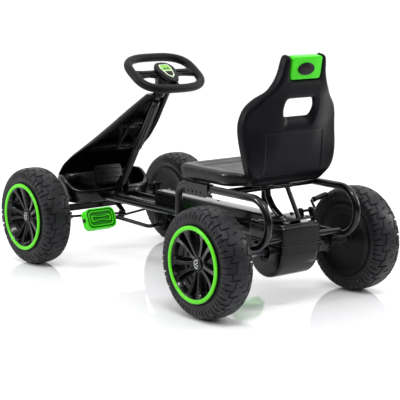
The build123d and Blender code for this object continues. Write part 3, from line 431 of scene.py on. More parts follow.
# ------------------------------------------------------------------ wheels
def tyre_profile():
    """Outer skin from the inboard bead to the outboard bead, as (u, radius) points."""
    a, b, rc, n = 45.8, 27.0, 123.0, 2.75
    t = np.linspace(-math.pi / 2, math.pi / 2, 400)
    u = a * np.sign(np.sin(t)) * np.abs(np.sin(t)) ** (2 / n)
    r = rc + b * np.abs(np.cos(t)) ** (2 / n)
    low = np.array([(39.5, 99.0), (40.8, 103.2), (43.0, 106.5), (44.8, 113.0), (45.7, 119.0)])
    left = low * [-1, 1]
    out = np.concatenate([left, np.stack([u, r], 1), low[::-1]])
    return out


def seg_dist(a, s, pts):
    """Distance of points (a, s) from a polyline."""
    best = np.full(np.broadcast(a, s).shape, 1e9)
    for (x0, y0), (x1, y1) in zip(pts[:-1], pts[1:]):
        dx, dy = x1 - x0, y1 - y0
        k = np.clip(((a - x0) * dx + (s - y0) * dy) / (dx * dx + dy * dy), 0, 1)
        best = np.minimum(best, np.hypot(a - x0 - k * dx, s - y0 - k * dy))
    return best


def tread_depth(arc, s, pitch):
    """Groove depth (mm) at arc length round the tyre and s across it from the crown."""
    out = np.zeros(np.broadcast(arc, s).shape)
    for sign, shift in ((1, 0.0), (-1, 0.5)):
        ss = s * sign
        base = (arc * sign) / pitch + shift
        for off in (-1, 0, 1):
            a = (base - np.floor(base) + off) * pitch
            step = [(0, 70), (0, 24), (0.60 * pitch, 19), (0.62 * pitch, 34), (pitch, 30)]
            tick = [(0.62 * pitch, 34), (0.62 * pitch, 12), (0.66 * pitch, 9)]
            short = [(0.36 * pitch, 70), (0.36 * pitch, 38)]
            shoulder = [(0.72 * pitch, 70), (0.72 * pitch, 50)]
            centre = [(0.2 * pitch, 8), (0.2 * pitch, -1)]
            for line, width, deep in ((step, 4.4, 5.0), (tick, 3.8, 4.4), (short, 4.0, 4.6), (shoulder, 3.4, 3.8), (centre, 2.8, 2.4)):
                d = seg_dist(a, ss, line)
                g = deep * (1 - smooth_step(width / 2 - 0.8, width / 2 + 0.8, d))
                out = np.maximum(out, np.where(ss > -2, g, 0))
    return out


def make_tyre_mesh():
    prof = tyre_profile()
    fine = resample(prof, 1.1)
    d = np.r_[0, np.cumsum(np.linalg.norm(np.diff(fine, axis=0), axis=1))]
    s = d - d[-1] / 2
    tang = np.gradient(fine, axis=0)
    nrm = np.stack([-tang[:, 1], tang[:, 0]], 1)
    nrm /= np.linalg.norm(nrm, axis=1)[:, None]
    teeth = 20
    na = teeth * 50
    th = np.linspace(0, 2 * math.pi, na, endpoint=False)
    arc = th * 150.0
    pitch = 2 * math.pi * 150 / teeth
    depth = tread_depth(arc[:, None], s[None, :], pitch)
    edge = np.abs(s)
    # shoulder fades into the smooth sidewall; ribs round the sidewall
    depth *= (1 - smooth_step(57, 66, edge))[None, :]
    lug = 1.1 * smooth_step(52, 56, edge) * (1 - smooth_step(64, 67, edge))
    rib = 0.7 * np.exp(-((edge - 84) / 1.6) ** 2) + 0.5 * np.exp(-((edge - 76) / 1.0) ** 2)
    low = -1.2 * smooth_step(66, 68.5, edge) * (1 - smooth_step(80, 83, edge))
    h = -depth + (rib + low + lug * 0)[None, :]
    uu = fine[None, :, 0] + h * nrm[None, :, 0]
    rr = fine[None, :, 1] + h * nrm[None, :, 1]
    v = np.stack([uu, rr * np.cos(th)[:, None], rr * np.sin(th)[:, None]], 2)
    np_ = fine.shape[0]
    # inner lips close the bead
    lips = np.array([(34.0, 97.2), (34.0, 106.0)])
    lv = []
    for q in ((-1, lips[1]), (-1, lips[0])):
        lv.append(np.stack([np.full(na, q[0] * q[1][0]), q[1][1] * np.cos(th), q[1][1] * np.sin(th)], 1)[:, None, :])
    rv = []
    for q in (lips[0], lips[1]):
        rv.append(np.stack([np.full(na, q[0]), q[1] * np.cos(th), q[1] * np.sin(th)], 1)[:, None, :])
    v = np.concatenate(lv + [v] + rv, 1)
    nv = v.shape[1]
    ob = mesh_object("tyre_mesh", v.reshape(-1, 3), grid_faces(na, nv, close_u=True))
    recalc(ob)
    me = ob.data
    me.polygons.foreach_set("use_smooth", [True] * len(me.polygons))
    me.materials.append(M["tyre"])
    bpy.data.objects.remove(ob)
    return me


def cover_mesh():
    """Face of the wheel cover: a dish with ten twisted blades in five pairs."""
    nt, nr = 900, 84
    r = np.r_[np.linspace(15, 86, nr), 88.0, 90.2, 91.2, 91.8, 92.2]
    th = np.linspace(0, 2 * math.pi, nt, endpoint=False)
    R, T = np.meshgrid(r, th)
    floor = np.interp(r, [15, 20, 30, 60, 78, 84, 88, 90.2, 91.2, 91.8, 92.2], [29, 28.6, 23, 21, 23, 30, 41, 46.5, 48.2, 48.6, 47.2])
    ridge = np.interp(r, [15, 20, 30, 50, 70, 80, 86, 90.2, 91.2, 91.8, 92.2], [29.5, 30.5, 33, 36.5, 41, 44, 45.5, 46.8, 48.2, 48.6, 47.2])
    mask = np.zeros_like(R)
    slope = np.zeros_like(R)
    for k in range(5):
        for s in (-1, 1):
            c = math.radians(72 * k + 90) + s * np.interp(R, [15, 35, 60, 88], [math.radians(15), math.radians(11.5), math.radians(11.0), math.radians(13.5)])
            dth = (T - c + math.pi) % (2 * math.pi) - math.pi
            mm = dth * R * s
            half = np.interp(R, [15, 30, 60, 80, 88], [3.6, 4.2, 5.2, 6.6, 9.0])
            inner = smooth_step(-half - 1.8, -half + 1.8, mm)
            outer = 1 - smooth_step(half - 1.0, half + 9.0, mm)
            m = inner * outer
            mask = np.maximum(mask, m)
        # web joining each pair near the centre and a shallow pocket between
        c = math.radians(72 * k + 90)
        dth = (T - c + math.pi) % (2 * math.pi) - math.pi
        web = (1 - smooth_step(3.0, 9.0, np.abs(dth * R))) * (0.42 * (1 - smooth_step(34, 60, R)))
        mask = np.maximum(mask, web)
    hub = 1 - smooth_step(20, 27, R)
    mask = np.maximum(mask, hub)
    U = floor[None, :] * (1 - mask) + ridge[None, :] * mask
    v = np.stack([U, R * np.cos(T), R * np.sin(T)], 2)
    rim_pts = np.array([(47.2, 102.0), (44.2, 102.0), (44.2, 90.0)])
    extra = [np.stack([np.full(nt, q[0]), q[1] * np.cos(th), q[1] * np.sin(th)], 1)[:, None, :] for q in rim_pts]
    centre = np.stack([np.full(nt, 29.0), 4.0 * np.cos(th), 4.0 * np.sin(th)], 1)[:, None, :]
    v = np.concatenate([centre, v] + extra, 1)
    ob = mesh_object("cover_mesh", v.reshape(-1, 3), grid_faces(nt, v.shape[1], close_u=True))
    recalc(ob)
    me = ob.data
    me.polygons.foreach_set("use_smooth", [True] * len(me.polygons))
    me.set_sharp_from_angle(angle=math.radians(60))
    me.materials.append(M["cover"])
    bpy.data.objects.remove(ob)
    return me


def place_wheel(x, y, side, spin):
    m = Matrix.Translation((x * MM, y * MM, 0.150))
    if side < 0:
        m = m @ Matrix.Rotation(math.pi, 4, "Z")
    return m @ Matrix.Rotation(spin, 4, "X")


tyre_me, face_me = make_tyre_mesh(), cover_mesh()
WHEELS = (
    ("front_left", 278, -425, 1, "front_left_wheel", 0.30),
    ("front_right", -278, -425, -1, "front_right_wheel", 1.10),
    ("rear_left", 270, 425, 1, "rear_drive", 0.62),
    ("rear_right", -270, 425, -1, "rear_right_wheel", 1.70),
)
for corner, wx, wy, side, body, spin in WHEELS:
    P = place_wheel(wx, wy, side, spin)
    for part, src, mat in (("tyre", tyre_me, "tyre"), ("wheel_cover", face_me, "cover")):
        me = src.copy()
        me.transform(P)
        ob = bpy.data.objects.new(f"{corner}_{part}_shape", me)
        bpy.context.scene.collection.objects.link(ob)
        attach(ob, body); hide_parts(f"{corner}_{part}")
    ring = [(46.6, 102.8), (47.5, 103.4), (49.8, 103.3), (51.4, 101.8), (52.2, 99.5), (52.3, 96.5), (51.6, 94.0), (50.2, 92.6), (48.4, 92.0), (46.8, 92.2), (46.6, 102.8)]
    lathe(f"{corner}_trim_ring_shape", ring, 180, P, "ring", body, [f"{corner}_trim_ring"], smooth=50)
    rim = [(24, 8.6), (18, 8.6), (18, 18), (-26, 18.5), (-30, 30), (-30, 88), (38, 89), (43.6, 89.6), (43.8, 101.6), (41, 102), (39.6, 96.2),
           (-39.6, 96.2), (-41, 102.4), (-43.5, 103.4), (-45.2, 102.2), (-45.6, 99.5), (-44.4, 97.0), (-38.8, 93.0), (-37.6, 90.6), (-37.2, 86.0), (-35.0, 79.0), (-33.4, 70.0), (-33.0, 34), (-34.0, 29), (-38.2, 27), (-39.0, 25.5), (-39.0, 19.5), (-38, 18.6), (-37.6, 8.6), (24, 8.6)]
    lathe(f"{corner}_rim_shape", rim, 144, P, "rim", body, [f"{corner}_rim"], smooth=38)
    cap = [(28.5, 18.4), (31.5, 18.4), (33.3, 17.2), (33.7, 15.4), (32.9, 14.6), (32.6, 13.8), (33.4, 9.0), (33.8, 0.01)]
    lathe(f"{corner}_hub_cap_shape", cap, 72, P, "case", body, [f"{corner}_hub_cap"], smooth=50)
    # pale device on the cap: a ring and three petals
    bits = []
    ring_out, ring_in = superellipse(11.6, 11.6, 2, 48), superellipse(9.9, 9.9, 2, 48)
    em = frame_matrix((0, 0, 0), (0, 1, 0), (0, 0, 1), (1, 0, 0))
    lift = Matrix.Translation((33.6 * MM, 0, 0))
    arc_a = [(9.9 * math.cos(t), 9.9 * math.sin(t)) for t in np.linspace(0.5, 4.6, 30)] + [(12.2 * math.cos(t), 12.2 * math.sin(t)) for t in np.linspace(4.6, 0.5, 30)]
    bits.append(plate("e", [arc_a], 1.2, 0.3, P @ lift @ em, "emblem", body, res=1))
    for k in range(3):
        t0 = k * 2 * math.pi / 3 + 0.5
        petal = [(4.6 * math.cos(t0) + 3.1 * math.cos(q) * math.cos(t0) - 1.7 * math.sin(q) * math.sin(t0), 4.6 * math.sin(t0) + 3.1 * math.cos(q) * math.sin(t0) + 1.7 * math.sin(q) * math.cos(t0)) for q in np.linspace(0, 2 * math.pi, 20, endpoint=False)]
        bits.append(plate("e", [petal], 1.2, 0.3, P @ lift @ em, "emblem", body, res=1))
    dev = join(f"{corner}_cap_device", bits)
    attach(dev, body)

# ------------------------------------------------------------------ side loops and seat support
for side, name in ((1, "side_loop_left"), (-1, "side_loop_right")):
    x = side * 160
    path = corner_path([(x, 161, 184), (x, 544.5, 184), (x, 544.5, 318), (x, 160, 318), (x, 160, 176)], [0, 66.9, 66.9, 35, 0], 18)
    loop = tube(name + "_tube", resample(path, 4), 10.5, "powder", "chassis", seg=32)
    out = fillet2d([(395, 186), (403, 140), (413, 124), (437, 124), (447, 140), (455, 186)], [0, 6, 10, 10, 6, 0], 6)
    hole = superellipse(16.9, 16.9, 2, 40, (425, 150))
    pl = plate("pl", [out, hole], 4, 0.7, frame_matrix((x, 0, 0), (0, 1, 0), (0, 0, 1), (1, 0, 0)), "powder", "chassis")
    ob = join(name + "_shape", [loop, pl])
    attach(ob, "chassis"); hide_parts(name)

bits = [
    tube("b", [(-149.6, 368, 318), (149.6, 368, 318)], 9, "powder", "chassis"),
    tube("b", resample(corner_path([(10, 366, 314), (10, 368, 292), (10, 392, 262), (10, 423, 242)], [0, 40, 40, 0], 10), 3), 9, "powder", "chassis"),
    tube("b", [(-14, 420, 324), (-14, 470, 241)], 6.6, "powder", "chassis"),
    plate("b", [rounded_rect(60, 74, 8)], 4, 0.8, frame_matrix((0, 393, 324), (1, 0, 0), (0, 1, 0), (0, 0, 1)), "powder", "chassis"),
    plate("b", [rounded_rect(112, 84, 6)], 4, 0.8, frame_matrix((0, 442, 242), (1, 0, 0), (0, 1, 0), (0, 0, 1)), "powder", "chassis"),
    plate("b", [rounded_rect(36, 46, 2)], 8, 0.8, frame_matrix((45, 422, 219), (0, 1, 0), (0, 0, 1), (1, 0, 0)), "powder", "chassis"),
    plate("b", [rounded_rect(36, 46, 2)], 8, 0.8, frame_matrix((-45, 422, 219), (0, 1, 0), (0, 0, 1), (1, 0, 0)), "powder", "chassis"),
    plate("b", [fillet2d([(-12, -10.5), (12, -10.5), (9, 9), (-9, 9)], [0, 0, 7, 7], 6, True), superellipse(4.4, 4.4, 2, 24)], 4, 0.5, frame_matrix((-52, 436, 252), (0, 1, 0), (0, 0, 1), (1, 0, 0)), "powder", "chassis"),
]
for bx, by in ((-40, 412), (40, 412), (-44, 474), (44, 474), (26, 446), (10, 436)):
    bits.append(lathe("b", [(0, 6.0), (2.6, 5.6), (4.2, 3.6), (4.4, 0.01)], 6, frame_matrix((bx, by, 244), (0, 0, 1), (1, 0, 0), (0, 1, 0)), "zinc", "chassis", smooth=20))
ob = join("seat_support_shape", bits)
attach(ob, "chassis"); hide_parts("seat_support")

# ------------------------------------------------------------------ chain case
X, Y, Z = (1, 0, 0), (0, 1, 0), (0, 0, 1)
side_plane = frame_matrix((0, 0, 0), (0, 1, 0), (0, 0, 1), (1, 0, 0))
up_narrow = fillet2d([(-140, 180.4), (-140, 232), (-131, 241), (396, 241), (396, 180.4)], [0, 10, 8, 3, 0], 6, False)
up_box = fillet2d([(357, 180.4), (357, 224), (364, 230), (493, 230), (500, 223), (500, 180.4)], [0, 6, 4, 6, 6, 0], 6, False)
low_narrow = fillet2d([(-140, 179.6), (-140, 124), (-104, 101), (-20, 101), (396, 108), (396, 179.6)], [0, 14, 14, 40, 0, 0], 6, False)
drum = [(425 + 70 * math.cos(t), 150 + 70 * math.sin(t)) for t in np.linspace(math.pi, 2 * math.pi, 40)]
low_box = [(355, 179.6)] + drum + [(499.5, 152), (499.5, 179.6)]
bits = [
    plate("b", [up_narrow], 56, 5, side_plane, "case", "chassis", res=4),
    plate("b", [up_box], 138, 9, side_plane, "case", "chassis", res=5),
    # flange along the split and raised ribs on the lid
    plate("b", [rounded_rect(146, 141, 8)], 5, 1.6, frame_matrix((0, 430, 184), X, Y, Z), "case", "chassis", res=2),
    plate("b", [rounded_rect(44, 92, 8)], 8, 2.5, frame_matrix((44, 436, 230), X, Y, Z), "case", "chassis", res=2),
    plate("b", [rounded_rect(48, 500, 6)], 3, 1.0, frame_matrix((0, 118, 240.8), X, Y, Z), "lid", "chassis", res=2),
    plate("b", [rounded_rect(112, 116, 10)], 4, 1.8, frame_matrix((0, 430, 230.2), X, Y, Z), "lid", "chassis", res=3),
]
ob = join("chain_case_upper_shape", bits)
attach(ob, "chassis"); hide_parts("chain_case_upper")
bits = [
    plate("b", [low_narrow, superellipse(14, 14, 2, 40, (-72, 148))], 56, 5, side_plane, "case", "chassis", res=4),
    plate("b", [low_box, superellipse(14, 14, 2, 40, (425, 150))], 138, 11, side_plane, "case", "chassis", res=6),
    plate("b", [rounded_rect(146, 141, 8)], 4, 1.4, frame_matrix((0, 430, 177.5), X, Y, Z), "case", "chassis", res=2),
]
ob = join("chain_case_lower_shape", bits)
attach(ob, "chassis"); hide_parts("chain_case_lower")

# ------------------------------------------------------------------ seat
tilt = math.radians(10.5)
back_up = Vector((0, math.sin(tilt), math.cos(tilt)))
back_fwd = Vector((0, -math.cos(tilt), math.sin(tilt)))
back_m = frame_matrix((0, 451, 343), (1, 0, 0), back_up, back_fwd)


def spline_points(pts, per=10):
    """Catmull-Rom through the points."""
    p = np.asarray(pts, float)
    q = np.vstack([2 * p[0] - p[1], p, 2 * p[-1] - p[-2]])
    out = []
    for i in range(1, len(q) - 2):
        for k in range(per):
            t = k / per
            a, b, c, d = q[i - 1], q[i], q[i + 1], q[i + 2]
            out.append(0.5 * ((2 * b) + (-a + c) * t + (2 * a - 5 * b + 4 * c - d) * t * t + (-a + 3 * b - 3 * c + d) * t ** 3))
    out.append(q[-2])
    return np.array(out)


right = spline_points([(100, -11), (119, -8), (132, 2), (142, 20), (152, 40), (160, 70), (165, 102), (167, 144), (163, 176), (150, 205), (120, 236), (93, 266), (79, 297), (74, 325), (70, 341), (62, 349), (55, 345)], 8)
outline = np.vstack([right, [(53, 330), (52, 300), (50, 284), (-50, 284), (-52, 300), (-53, 330)], right[::-1] * [-1, 1]])
hole = fillet2d([(-48, 231), (48, 231), (55, 206), (46, 182), (-46, 182), (-55, 206)], [12, 12, 16, 14, 14, 16], 8, True)
seat_back = plate("seat_back_shape", [outline, hole], 36, 11, back_m, "seat", "seat", res=5, keep=True)
remesh_dense(seat_back, 3.0, 5)
c = coords(seat_back)
x, v, z = c[:, 0], c[:, 1], c[:, 2]
# local z: -18 rear face, +18 rider's face
rear = smooth_step(4, -10, z)
front = smooth_step(-4, 10, z)
# bucket: the sides come forward, most of all at shoulder height
side_w = smooth_step(55, 165, np.abs(x)) * smooth_step(35, 165, v) * (1 - smooth_step(225, 290, v))
z += 30 * side_w
z -= front * 14 * (1 - smooth_step(80, 135, np.abs(x))) * smooth_step(18, 46, v) * (1 - smooth_step(235, 268, v))
# the lower edge of the shell turns under towards the cushion
z += 9 * rear * (1 - smooth_step(0, 34, v)) ** 1.6
# the recessed rectangle low on the rear face
box_d = np.maximum(np.abs(x) - 102, np.maximum(26 - v, v - 138))
z += rear * (1.5 * (1 - smooth_step(-1.6, 0.4, box_d)) - 0.7 * np.exp(-((box_d - 2.6) / 1.8) ** 2))
# the floor of the hand hole slopes down towards the rear, its rim softened all round
near_x = 1 - smooth_step(48, 66, np.abs(x))
scoop = near_x * smooth_step(148, 170, v) * (1 - smooth_step(188, 222, v))
v += scoop * np.interp(z, [-18, 2, 18], [-21.0, 2.0, 7.0])
wall_x = smooth_step(34, 50, np.abs(x)) * (1 - smooth_step(58, 74, np.abs(x))) * smooth_step(168, 190, v) * (1 - smooth_step(222, 240, v))
x -= np.sign(x) * wall_x * np.interp(z, [-18, 18], [-3.0, 7.0])
c[:, 0] = x
# a shallow raised lip below the headrest panel
z -= rear * 2.2 * np.exp(-((v - 277) / 3.6) ** 2) * (1 - smooth_step(50, 58, np.abs(x)))
c[:, 1] = v
c[:, 2] = z + 18
set_coords(seat_back, c)
sub = seat_back.modifiers.new("s", "SUBSURF"); sub.levels = sub.render_levels = 1
seat_back.data.transform(back_m)
finish_piece(seat_back, "seat", "seat", ["seat_back"], smooth=0)

insert = plate("headrest_insert_shape", [fillet2d([(-50.5, 285), (50.5, 285), (52.5, 300), (52.5, 342), (46, 346.5), (-46, 346.5), (-52.5, 342), (-52.5, 300)], [6, 6, 10, 6, 6, 6, 6, 10], 5, True)], 27, 4, back_m, "green", "seat", res=4, keep=True)
c = coords(insert); c[:, 2] += 12.5; set_coords(insert, c)
insert.data.transform(back_m)
finish_piece(insert, "green", "seat", ["headrest_insert"], 40)
bits = []
frame_oval = superellipse(29, 16.5, 2.1, 64, (4, 314))
for pts, th, off, mat in ((frame_oval, 4.0, -1.8, "badge"), (superellipse(23, 11.5, 2.1, 64, (4, 314)), 3.0, -3.4, "badge"), (superellipse(13, 5.0, 2.0, 48, (5, 315)), 1.2, -4.4, "badge_red")):
    o = plate("b", [pts], th, min(1.4, th / 2 - 0.05), back_m, mat, "seat", res=4, keep=True)
    cc = coords(o); cc[:, 2] += off; set_coords(o, cc); o.data.transform(back_m); o.data.materials.append(M[mat])
    o.data.polygons.foreach_set("use_smooth", [True] * len(o.data.polygons)); o.data.set_sharp_from_angle(angle=0.7)
    bits.append(o)
ob = join("headrest_badge_shape", bits)
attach(ob, "seat"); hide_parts("headrest_badge")

base_out = fillet2d([(-158, 143), (158, 143), (158, 430), (-158, 430)], [36, 36, 96, 96], 12, True)
seat_base = plate("seat_base_shape", [base_out], 42, 13, frame_matrix((0, 0, 351), X, Y, Z), "seat", "seat", res=6, keep=True)
remesh_dense(seat_base, 3.6, 5)
c = coords(seat_base)
x, y, z = c[:, 0], c[:, 1], c[:, 2]
top = smooth_step(4, 14, z)
bot = smooth_step(-4, -14, z)
z -= top * 9 * (1 - smooth_step(92, 138, np.abs(x))) * smooth_step(160, 215, y)
for gy in np.arange(176, 392, 24.0):
    z -= top * 1.8 * np.exp(-((y - gy) / 3.0) ** 2) * (1 - smooth_step(104, 112, np.abs(x)))
z += bot * 10 * (1 - smooth_step(100, 150, np.abs(x))) * (1 - smooth_step(0, 40, np.abs(y - 287) - 90))
c[:, 2] = z + 351
set_coords(seat_base, c)
sub = seat_base.modifiers.new("s", "SUBSURF"); sub.levels = sub.render_levels = 1
finish_piece(seat_base, "cushion", "seat", ["seat_base"], smooth=0)

# ------------------------------------------------------------------ steering
tilt_c = math.radians(33)
ax = Vector((0, math.sin(tilt_c), math.cos(tilt_c)))
ac = Vector((0, math.cos(tilt_c), -math.sin(tilt_c)))
foot = Vector((0, -356, 220))


def on_col(s, across=0.0, x=0.0):
    return foot + ax * s + ac * across + Vector((x, 0, 0))


def col_m(s, across=0.0):
    return frame_matrix(on_col(s, across), (1, 0, 0), ac, ax)


rim_line = superellipse(115, 78, 3.1, 120)
pts = np.array([on_col(446.8, -9.6 + q[1], q[0]) for q in rim_line])
# the rim is a little flatter where the hands hold it
wheel_rim = tube("b", pts, 13.0, "grip", "steering", seg=32, closed=True)
bits = [wheel_rim]
for s in (1, -1):
    sp = fillet2d([(s * 20, -24), (s * 62, -20), (s * 106, -26), (s * 108, 6), (s * 60, 0), (s * 20, 10)], [0, 20, 4, 4, 20, 0], 6, True)
    if s < 0:
        sp = sp[::-1]
    bits.append(plate("b", [sp], 15, 4.5, col_m(444), "grip", "steering", res=4))
    bits.append(plate("b", [rounded_rect(50, 11, 4) * [1, 1] + np.array([s * 66, -11])], 4, 1.2, col_m(452.5), "satin", "steering", res=2))
bits.append(plate("b", [fillet2d([(-26, 10), (26, 10), (17, 40), (20, 66), (-20, 66), (-17, 40)], [4, 4, 14, 3, 3, 14], 6, True)], 16, 5, col_m(443), "grip", "steering", res=4))
hub = [(374 - 446, 17.5), (380 - 446, 18.5), (412 - 446, 24), (432 - 446, 33), (440 - 446, 37), (446 - 446, 38), (449 - 446, 36), (450 - 446, 0.01)]
hm = frame_matrix(on_col(446), ax, (1, 0, 0), ac)
bits.append(lathe("b", [(-74, 7.4), (-74, 16.5)] + hub, 64, hm, "satin", "steering", smooth=40))
ob = join("steering_wheel_shape", bits)
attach(ob, "steering"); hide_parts("steering_wheel")

pod = spline_points([(0, -46), (20, -42), (34, -24), (35, -6), (27, 20), (15, 44), (0, 52)], 8)
pod = np.vstack([pod, (pod[::-1] * [-1, 1])[1:-1]])
cov = plate("hub_cover_shape", [pod[::-1]], 11, 4.0, col_m(455.5), "satin", "steering", ["hub_cover"], res=5)
bits = [plate("b", [(fillet2d([(-17, -31), (17, -31), (20, -12), (13, 20), (0, 33), (-13, 20), (-20, -12)], [5, 5, 8, 6, 3, 6, 8], 5, True))], 2.2, 0.7, col_m(461.4), "shield_pale", "steering", res=2),
        plate("b", [fillet2d([(-14, -27.5), (14, -27.5), (16.5, -12), (14.5, -2), (-14.5, -2), (-16.5, -12)], [3, 3, 6, 2, 2, 6], 4, True)], 2.2, 0.5, col_m(462.2), "shield", "steering", res=2),
        plate("b", [fillet2d([(-13, 2), (13, 2), (10, 17), (0, 27), (-10, 17)], [2, 2, 5, 2, 5], 4, True)], 2.0, 0.5, col_m(462.0), "satin", "steering", res=2),
        plate("b", [superellipse(3.0, 3.6, 2, 24, (-5.5, -10))], 2.2, 0.4, col_m(463.0), "satin", "steering", res=2),
        plate("b", [superellipse(3.0, 3.6, 2, 24, (5.5, -10))], 2.2, 0.4, col_m(463.0), "satin", "steering", res=2)]
ob = join("hub_badge_shape", bits)
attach(ob, "steering"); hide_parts("hub_badge")

# ribbed sleeve round the upper column
seg_s = [(0, 7.4), (0, 12.8), (1.5, 14.0), (14, 14.2), (15, 13.2), (170, 12.8), (171, 13.8), (184, 13.9), (186.5, 12.0), (187, 7.4)]
bits = [lathe("b", seg_s, 56, frame_matrix(on_col(165), ax, (1, 0, 0), ac), "case", "chassis", smooth=30)]
for s in (-1, 1):
    bits.append(plate("b", [rounded_rect(6, 152, 2)], 5, 1.2, frame_matrix(on_col(258, 9.5, s * 8.5), (1, 0, 0), ax, ac), "case", "chassis", res=2))
ob = join("column_sleeve_shape", bits)
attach(ob, "chassis"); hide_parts("column_sleeve")

# ------------------------------------------------------------------ fairing
Zs = np.array([256, 290, 322, 376, 430, 485, 535.0])
Ws = np.array([146, 138, 128, 108, 86, 62, 40.0])
Rs = np.array([-496, -480, -436, -345, -272, -206, -146.0])
Fs = np.array([-520, -500, -474, -402, -328, -254, -180.0])
nz, nphi = 70, 60
zz = np.linspace(256, 535, nz)
W_, R_, F_ = (np.interp(zz, Zs, q) for q in (Ws, Rs, Fs))
for arr in (W_, R_, F_):
    for _ in range(6):
        arr[1:-1] = 0.25 * arr[:-2] + 0.5 * arr[1:-1] + 0.25 * arr[2:]
phi = np.linspace(-math.pi / 2, math.pi / 2, nphi)
sx = np.sign(np.sin(phi)) * np.abs(np.sin(phi)) ** 0.85
cy = np.abs(np.cos(phi)) ** 0.75
band = 15.0
verts, rows = [], []
for k in range(nz):
    w, r, f = W_[k], R_[k], F_[k]
    outer = np.stack([w * sx, r + (f - r) * cy], 1)
    ins = min(band, w * 0.34)
    wi, fi = w - ins, f + 7
    inner = np.stack([wi * sx[::-1], (r + 3) + (fi - (r + 3)) * cy[::-1]], 1)
    edge_r = [(w - ins * q, r + 4.2 * math.sin(math.pi * q)) for q in (0.12, 0.3, 0.5, 0.7, 0.88)]
    edge_l = [(-w + ins * q, r + 4.2 * math.sin(math.pi * q)) for q in (0.88, 0.7, 0.5, 0.3, 0.12)]
    loop_xy = np.vstack([outer, edge_r, inner, edge_l])
    verts.append(np.column_stack([loop_xy, np.full(len(loop_xy), zz[k])]))
nloop = len(verts[0])
V = np.concatenate(verts)
F = grid_faces(nz, nloop, close_v=True)
F.append(tuple(range(nloop))[::-1])
F.append(tuple((nz - 1) * nloop + k for k in range(nloop)))
fair = mesh_object("fairing_a", V, F)
recalc(fair)
fair.data.materials.append(M["satin"])
fair.data.polygons.foreach_set("use_smooth", [True] * len(fair.data.polygons))
fair.data.set_sharp_from_angle(angle=math.radians(50))
bits = [fair]
# ledges and ribs moulded inside the cowl
for z0, wd, y0, dp, deep in ((428, 116, -288, 12, 34), (346, 168, -408, 16, 44)):
    bits.append(plate("b", [rounded_rect(wd, deep, 12)], dp, 4.0, frame_matrix((0, y0, z0), X, (0, 0.90, 0.43), (0, -0.43, 0.90)), "satin", "chassis", res=3))
bits.append(plate("b", [rounded_rect(64, 128, 16), rounded_rect(46, 108, 12)], 6, 2.2, frame_matrix((0, -300, 392), X, (0, 0.66, 0.75), (0, -0.75, 0.66)), "satin", "chassis", res=3))
for s_ in (-1, 1):
    bits.append(tube("b", resample(corner_path([(s_ * 54, -290, 424), (s_ * 33, -304, 402), (s_ * 28, -330, 368)], [0, 18, 0], 8), 4), 3.8, "satin", "chassis", seg=16))
# ribbed heel panel low in the middle
bits.append(plate("b", [rounded_rect(104, 66, 10)], 12, 3.0, frame_matrix((0, -428, 252), X, (0, -0.32, 0.947), (0, 0.947, 0.32)), "satin", "chassis", res=3))
for k in range(4):
    bits.append(plate("b", [rounded_rect(88, 6.5, 2.4)], 4, 1.4, frame_matrix((0, -421 - 0.32 * (k * 15 - 22), 252 + 0.947 * (k * 15 - 22)), X, (0, -0.32, 0.947), (0, 0.947, 0.32)), "satin", "chassis", res=2))
ob = join("front_fairing_shape", bits)
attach(ob, "chassis"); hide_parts("front_fairing")

# ------------------------------------------------------------------ footwell body
def lobe_ring(hw_top, hw_low, name):
    n = 160
    o = superellipse(1, 1, 3.4, n)
    rowsv = []
    levels = [(172, hw_low - 8, 64), (176, hw_low, 68), (196, hw_low + 1, 69), (216, hw_low + 8, 70), (236, hw_top - 1, 71), (250, hw_top, 71), (257, hw_top - 3, 69), (259, hw_top - 8, 64),
              (256, hw_top - 13, 59), (248, hw_top - 16, 56), (226, hw_top - 22, 52), (200, hw_low - 14, 50), (180, hw_low - 20, 46)]
    for z, hw, hd in levels:
        p = o * [hw, hd] + [0, -455]
        zrow = np.full(n, float(z))
        # the rim falls towards the rider
        fall = smooth_step(-470, -392, p[:, 1])
        zrow = zrow - (zrow - 176) * 0.50 * fall * (1 - smooth_step(hw_top * 0.99, hw_top * 1.2, np.abs(p[:, 0])))
        rowsv.append(np.column_stack([p, zrow]))
    V = np.concatenate(rowsv)
    F = grid_faces(len(levels), n, close_v=True)
    F.append(tuple(range(n))[::-1])
    F.append(tuple((len(levels) - 1) * n + k for k in range(n)))
    ob = mesh_object(name, V, F)
    recalc(ob)
    ob.data.materials.append(M["tray"])
    ob.data.polygons.foreach_set("use_smooth", [True] * len(ob.data.polygons))
    ob.data.set_sharp_from_angle(angle=math.radians(60))
    return ob


bits = [lobe_ring(157, 147, "b")]
for s in (-1, 1):
    bits.append(plate("b", [rounded_rect(70, 96, 14)], 10, 3.0, frame_matrix((s * 96, -452, 190), X, Y, Z), "satin", "chassis", res=3))
    bits.append(plate("b", [rounded_rect(10, 108, 4)], 44, 3.0, frame_matrix((s * 62, -452, 200), X, Y, Z), "satin", "chassis", res=3))
ob = join("footwell_body_shape", bits)
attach(ob, "chassis"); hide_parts("footwell_body")

